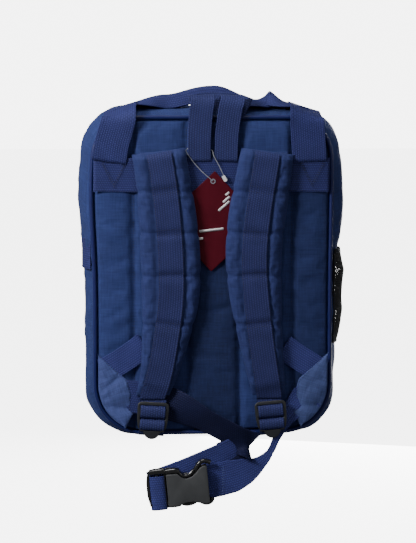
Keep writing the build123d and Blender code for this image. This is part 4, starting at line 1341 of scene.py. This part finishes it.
def make_tag():
    """A plain card hung by its corner, with bars where print would be."""
    low, high = mm_box("swing_tag")
    face = low[1]
    middle = (low + high) / 2
    half = TAG_SIDE / 2

    def turned(x, h, angle, p, q, depth):
        """Point at p, q from (x, h), along directions turned by an angle in degrees."""
        c, s = math.cos(math.radians(angle)), math.sin(math.radians(angle))
        return at(x + p * c - q * s, depth, h + p * s + q * c)

    def spot(a, b):
        """Point on the slightly curled card, a and b from -1 to 1 along its sides."""
        return turned(middle[0], middle[2], 43, a * half, b * half, face - 0.5 * math.sin(2.2 * a + 0.4))

    steps = np.concatenate([[-1, -0.99], np.linspace(-0.96, 0.96, 22), [0.99, 1]])
    grid = np.array([[spot(a, b) for a in steps] for b in steps])
    solid("tag_card", grid, (0, 0.5 * MM, 0), "card", "tag", "tag_card", ("swing_tag",))
    # x, height, length and tilt of each bar
    bars = ((20.5, 356, 7, 40), (19, 347.5, 13, 40), (15.5, 338, 21, 40), (-3, 303, 36, 6), (-19, 290.5, 8, 6))
    verts, faces = [], []
    for x, h, length, tilt in bars:
        ring = rounded([(-length / 2, -1.7), (length / 2, -1.7), (length / 2, 1.7), (-length / 2, 1.7)], 1.2, 4)
        k, n = len(verts), len(ring)
        for lift in (0.75, 0.2):
            verts += [turned(x, h, tilt, p, q, face - lift) for p, q in ring]
        faces += [tuple(range(k, k + n)), tuple(range(k + 2 * n - 1, k + n - 1, -1))]
        faces += [(k + i, k + (i + 1) % n, k + n + (i + 1) % n, k + n + i) for i in range(n)]
    make_object("tag_print_bars", verts, faces, "ink", "tag", "tag_card")
    angle = np.linspace(0, 2 * math.pi, 24, endpoint=False)
    eyelet = [at(-0.5 + 3.1 * math.cos(t), face - 0.5, 374 + 3.1 * math.sin(t)) for t in angle]
    verts, faces, uv = tube_mesh(eyelet, 0.7 * MM, 8, closed=True)
    make_object("tag_eyelet", verts, faces, "cord", "tag", "tag_card", uv)


STRING_ROUTE = (
    (-0.5, -14.2, 374.5), (-10.5, -15.0, 382.5), (-21.0, -15.0, 392.5), (-30.5, -15.0, 403.5),
    (-38.0, -15.6, 414), (-41.2, -11.4, 420), (-32.0, -10.9, 424.5), (-21.0, -11.2, 425),
    (-9.5, -11.2, 423), (-0.6, -11.0, 419), (-0.4, -15.9, 412.5), (4.5, -15.4, 403.5),
    (10.0, -15.6, 393.5), (14.5, -15.4, 383),
)


def make_string():
    curve = bpy.data.curves.new("tag_loop_string", "CURVE")
    curve.dimensions = "3D"
    spline = curve.splines.new("NURBS")
    spline.points.add(len(STRING_ROUTE) - 1)
    for point, row in zip(spline.points, STRING_ROUTE):
        point.co = (*at(*row), 1)
    spline.order_u = 3
    spline.use_endpoint_u = True
    spline.resolution_u = 8
    curve.bevel_depth = 0.6 * MM
    curve.bevel_resolution = 3
    curve.materials.append(SKIN["cord"])
    piece = placed("tag_loop_string", curve)
    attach(piece, "root")
    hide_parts("tag_string")
    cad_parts["tag_bead"].data.materials[0] = SKIN["bead"]
    at(*STRING_ROUTE[0])


def netting(name, place, across, up, radius, body, replaces, inside=lambda u, v: True):
    """Two crossing sets of yarns; place() takes shares across and up the net to a point."""
    verts, faces = [], []
    for direction in (-1, 1):
        for start in range(-up, across + up):
            line = []
            for k in range(up + 1):
                u, v = (start + direction * k * 0.5) / across, k / up
                if -0.001 <= u <= 1.001 and inside(u, v):
                    line.append(place(min(max(u, 0), 1), v))
            if len(line) > 2:
                tube_verts, tube_faces, _ = tube_mesh(line, radius * MM, 4)
                faces += [tuple(i + len(verts) for i in face) for face in tube_faces]
                verts += list(tube_verts)
    make_object(name, verts, faces, "mesh", body, "mesh", replaces=replaces)


def make_mesh_pocket():
    """Open netting that bulges from the right side, hemmed at the top."""
    low, high = mm_box("mesh_pocket")
    levels = (134, 146, 158, 178, 200, 222, 240, 258, 272, 280)
    bulges = (2.0, 5.0, 7.0, 10.0, 9.0, 9.5, 11.0, 5.5, 2.0, 1.5)

    def place(u, v):
        y, h = low[1] + (high[1] - low[1]) * u, low[2] + v * (high[2] - low[2])
        bulge = np.interp(h, levels, bulges) * math.sin(math.pi * u) ** 0.7
        return at(shell_side(y, h) + 1.2 + bulge + 0.8 * rumple(0, y, h, 16, 4) * math.sin(math.pi * u), y, h)

    netting("side_netting", place, 20, 44, 0.64, "root", ("mesh_pocket",))
    hem_share, thick = 7.0 / (high[2] - low[2]), 1.2 * MM
    steps = np.linspace(0, 1, 30)
    hem = np.array([[place(u, 1.0 + v * hem_share) for u in steps] for v in (0, 0.1, 0.5, 0.9, 1)])
    hem = hem[::-1] + (thick, 0, 0)
    solid("side_netting_hem", hem, (-thick, 0, 0), "black", "root", "binding", ("mesh_pocket_hem",))
    border = [(0, v) for v in np.linspace(1, 0, 30)] + [(u, 0) for u in steps[1:-1]] + [(1, v) for v in steps]
    verts, faces, uv = tube_mesh([place(*spot) for spot in border], 1.5 * MM, 8)
    make_object("side_netting_seam", verts, faces, "black", "root", "binding", uv)


def make_side_webbing():
    low, high = mm_box("side_webbing")
    middle = (low[2] + high[2]) / 2
    rows = [(shell_side(y, middle, -1) - 2.0, y, middle) for y in np.linspace(2, 68, 9)]
    _, grid, normal = webbing(
        "side_band_webbing", rows[::-1], 45, "wide", "root", "wide_webbing", facing=(-1, 0, 0),
        replaces=("side_webbing",),
    )
    sew_edges("root", grid, normal[1:-1], 1, -1)


def make_front_pocket():
    """The zipped outer pocket, a hollow box of cloth with a crowned face."""
    low, high = mm_box("front_pocket")
    rings = []
    for t in np.linspace(0, 1, 12):
        y = low[1] + (high[1] - low[1]) * t
        puff = 2.5 * math.sin(math.pi * min(1, t * 1.1))
        grow = 9 * t - puff
        ring = outline(high[0] - grow, low[2] - puff * 0.3, high[2] - grow, 35, 35)
        rings.append(np.insert(ring, 1, y, axis=1))
    front = []
    for share in (0.985, 0.96, 0.9, 0.8, 0.65, 0.5, 0.3, 0.12):
        ring = shrunk(rings[-1], share, high[1])
        for p in ring:
            p[1] += crown(share, 3.0, 1.8 * rumple(p[0], 3, p[2], 70, 8))
        front.append(ring)
    inner = []
    for t in (0.01, 0.9):
        y = low[1] + (high[1] - low[1]) * t
        ring = outline(high[0] - 3 - 9 * t, low[2] + 3, high[2] - 3 - 9 * t, 33, 33)
        inner.append(np.insert(ring, 1, y, axis=1))
    rings = inner[::-1] + rings + front
    loft(rings, "front_pocket_cloth", "pack", "front_pocket", "pack_fabric", ("front_pocket",), 0, len(front))
    for y in (low[1] + 4, high[1] - 3):
        t = (y - low[1]) / (high[1] - low[1])
        ring = outline(high[0] - 9 * t + 2.0 * math.sin(math.pi * t) + 0.4, low[2], high[2] - 9 * t, 35, 35)
        sew_ring("front_pocket", np.array([at(x, y, h) for x, h in ring]), 4)


def bound_edge(name, ring, radius, body):
    """Binding tape rolled over the edge of a panel."""
    verts, faces, uv = tube_mesh([at(*p) for p in ring], radius * MM, 8, closed=True)
    make_object(name, verts, faces, "black", body, "binding", uv)


def make_organiser():
    """The lining panel inside the rear half."""
    low, high = mm_box("organiser_panel")
    columns, levels = np.linspace(-1, 1, 60), np.linspace(low[2], high[2], 80)
    grid = np.zeros((len(levels), len(columns), 3))
    for i, h in enumerate(levels):
        half = panel_half(h, high[0], low[2], high[2], 30, 30)
        for j, s in enumerate(columns):
            grid[i, j] = at(s * half, high[1] - 0.2 + 0.5 * rumple(s * half, 0, h, 50, 12), h)
    thick = (0, (low[1] - high[1] + 0.4) * MM, 0)
    solid("organiser_cloth", grid, thick, "lining", "root", "lining", ("organiser_panel",))
    ring = outline(high[0] - 1, low[2] + 1, high[2] - 1, 29, 29)
    bound_edge("organiser_binding", np.insert(ring, 1, high[1] - 0.6, axis=1), 1.5, "root")


def make_elastic_loops():
    """Two rows of eight loops, each row one elastic band tacked down between its loops."""
    low, high = mm_box("elastic_loops")
    radius, pitch = 12.4, 34.0
    for number, bottom in enumerate((low[2], high[2] - 25)):
        path = [(-137, low[1] + 0.7, bottom + 12.5)]
        for k in range(8):
            for turn in np.linspace(0, math.pi, 13):
                x, reach = pitch * (k - 3.5) - radius * math.cos(turn), radius * math.sin(turn) ** 0.8
                path.append((x, low[1] + 0.7 + reach, bottom + 12.5))
        path.append((137, low[1] + 0.7, bottom + 12.5))
        grid, normal = ribbon_grid(path, 24.6, across=(0, 0, 1), step=1.6)
        replaced = ("elastic_loops",) if number == 0 else ()
        solid(f"elastic_band_{number}", grid, -normal[:, None] * 1.1 * MM, "black", "root", "binding", replaced)
        for k in range(9):
            line = [at(pitch * (k - 4), low[1] + 0.9, bottom + h) for h in (1.5, 12, 23.5)]
            stitch("root", line, (0, 1, 0), skin="pale_thread")


def make_shelves():
    """Two padded dividers, each quilted across and bound round its edge."""
    low, high = mm_box("shelf_dividers")
    for number, bottom in enumerate((low[2], high[2] - 6)):
        xs = high[0] - np.array([0, 1.2, 4, 10, 20, 36, 60, 90, 120, 150, 165.0])
        xs = np.concatenate([-xs, xs[-2::-1]])
        ys = low[1] + (high[1] - low[1]) * np.array([0, 0.02, 0.07, 0.16, 0.3, 0.5, 0.7, 0.84, 0.93, 0.98, 1])
        top, under = np.zeros((2, len(ys), len(xs), 3))
        for i, y in enumerate(ys):
            for j, x in enumerate(xs):
                edge = min(high[0] - abs(x), y - low[1], high[1] - y)
                half = 1.1 + 2.1 * (1 - math.exp(-edge / 6)) - 0.7 * float(dip(abs(x) - 55, 3))
                lump = 0.4 * rumple(x, y, 0, 40, 3 + number)
                top[i, j] = at(x, y, bottom + 3 + half + lump)
                under[i, j] = at(x, y, bottom + 3 - half + lump)
        replaced = ("shelf_dividers",) if number == 0 else ()
        piece = solid(f"shelf_pad_{number}", top, under - top, "lining", "root", "lining", replaced)
        rim = outline(high[0] - 0.6, low[1] + 0.6, high[1] - 0.6, 3, 3, 200)
        bound_edge(f"shelf_binding_{number}", np.insert(rim, 2, bottom + 3, axis=1), 1.6, "root")


def make_lid_pocket():
    """Net pocket sewn to the inside of the lid."""
    low, high = mm_box("lid_inner_pocket")
    y = (low[1] + high[1]) / 2

    def place(u, v):
        return at((2 * u - 1) * high[0], y - 0.5 * math.sin(math.pi * v), low[2] + v * (high[2] - low[2]))

    def inside(u, v):
        h = low[2] + v * (high[2] - low[2])
        return abs(2 * u - 1) * high[0] <= panel_half(h, high[0], low[2], high[2], 25, 6)

    netting("lid_netting", place, 66, 96, 0.45, "lid", ("lid_inner_pocket",), inside)
    ring = outline(high[0] - 1, low[2] + 1, high[2] - 1, 24, 5)
    bound_edge("lid_netting_binding", np.insert(ring, 1, y, axis=1), 1.6, "lid")
    rows = [(x, low[1] - 0.1, high[2] - 9) for x in np.linspace(-high[0], high[0], 12)]
    webbing("lid_netting_hem", rows, 18, "black", "lid", "binding", thick=1.2)


def make_pocket_zip():
    """Tape and teeth round the front pocket's opening."""
    low, high = mm_box("pocket_zip")
    rings = []
    for inset, y in ((0.3, low[1] + 1.6), (3.2, low[1] + 1.9), (5.4, low[1] + 1.9), (7.6, low[1] + 1.6)):
        ring = outline(high[0] - inset, 30 + inset, high[2] - inset, 35 - inset, 35 - inset, 420)
        ring = ring[ring[:, 1] > low[2] + 1]
        rings.append(spaced(np.insert(ring, 1, y, axis=1), 260))
    grid = np.array([[at(*p) for p in ring] for ring in rings]).transpose(1, 0, 2)
    solid("pocket_zip_tape", grid, (0, -1.3 * MM, 0), "tape", "lid", "zip_tape", ("pocket_zip",))
    edge = spaced((grid[:, 1] + grid[:, 2]) / 2, 420)
    out = np.tile((0.0, 1.0, 0.0), (len(edge), 1))
    tooth_row("pocket_zip_teeth", edge + (0, 0.6 * MM, 0), out, unit(edge.mean(0) - edge), "lid")


def make_strap_anchors():
    """Flat ends of the straps under the shoulder band."""
    low, high = mm_box("strap_anchors")
    for side, name in ((-1, "left"), (1, "right")):
        rows = [(side * 79, low[1] + 0.1, h) for h in np.linspace(low[2], high[2], 6)]
        webbing(
            f"strap_anchor_{name}", rows, 60, "strap", "root", "strap_fabric", slack=0.2, thick=1.6,
            replaces=("strap_anchors",) if side < 0 else (),
        )


def dress_cad_nodes():
    """Procedural finishes for the hard CAD nodes that show as they are."""
    finishes = {
        "board": ("frame_sheet", "base_board"),
        "metal": ("slider_left", "slider_right", "pull_left", "pull_right", "pocket_slider", "pocket_pull"),
    }
    for skin, nodes in finishes.items():
        for node in nodes:
            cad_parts[node].data.materials[0] = SKIN[skin]


# ---------------------------------------------------------------- stage
LAMPS = (  # name, place, width and power
    ("key", (-1.25, -0.85, 0.5), 0.45, 34.5),
    ("fill", (1.8, -2.0, 0.2), 1.6, 6.0),
    ("top", (-0.3, -0.4, 2.1), 1.0, 28.0),
    ("rear", (0.9, 2.4, -0.15), 1.6, 75.0),
)
AIM = Vector((0, 0, -0.25))  # where every lamp points


def make_stage():
    """Soft lamps, a pale floor below the hanging pack, and a backdrop that only the camera sees."""
    world = bpy.data.worlds.new("studio")
    world.use_nodes = True
    tree = world.node_tree
    glow, backdrop = tree.nodes["Background"], tree.nodes.new("ShaderNodeBackground")
    for node, colour, strength in ((glow, (0.95, 0.97, 1, 1), 0.2), (backdrop, (1, 1, 1, 1), 6.0)):
        node.inputs[0].default_value = colour
        node.inputs[1].default_value = strength
    seen = tree.nodes.new("ShaderNodeLightPath")
    choice = tree.nodes.new("ShaderNodeMixShader")
    tree.links.new(seen.outputs["Is Camera Ray"], choice.inputs[0])
    tree.links.new(glow.outputs[0], choice.inputs[1])
    tree.links.new(backdrop.outputs[0], choice.inputs[2])
    tree.links.new(choice.outputs[0], tree.nodes["World Output"].inputs[0])
    bpy.context.scene.world = world
    size, z = 30.0, cad_bounds[0][2] - 0.35
    mesh = bpy.data.meshes.new("floor")
    corners = [(-size, -size, z), (size, -size, z), (size, size, z), (-size, size, z)]
    mesh.from_pydata(corners, [], [(0, 1, 2, 3)])
    floor = placed("floor", mesh)
    paint = Shader("pale_floor", (0.92, 0.92, 0.92), 0.9)
    paint.bsdf.inputs["Emission Color"].default_value = (1, 1, 1, 1)
    paint.bsdf.inputs["Emission Strength"].default_value = 5.15
    mesh.materials.append(paint.material)
    floor.visible_diffuse = floor.visible_glossy = False
    floor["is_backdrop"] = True
    for name, place, width, power in LAMPS:
        data = bpy.data.lights.new(name, "AREA")
        data.size = width
        data.energy = power
        lamp = placed(name, data)
        lamp.location = place
        lamp.rotation_euler = (AIM - Vector(place)).to_track_quat("-Z", "Y").to_euler()


make_camera()
make_string()
make_rear_shell()
make_lid()
make_piping()
make_zips()
make_base_hinge()
make_back_panel()
make_band_and_legs()
make_carry_handle()
make_hang_loop()
make_strap("left")
make_strap("right")
make_wings()
make_adjusters()
make_locks()
make_belt()
make_buckle()
make_tag()
make_mesh_pocket()
make_side_webbing()
make_front_pocket()
make_organiser()
make_elastic_loops()
make_shelves()
make_lid_pocket()
make_pocket_zip()
make_strap_anchors()
dress_cad_nodes()
finish_stitches()
make_stage()

boxes = [[list(map(float, corner)) for corner in box] for box in (cad_bounds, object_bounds())]
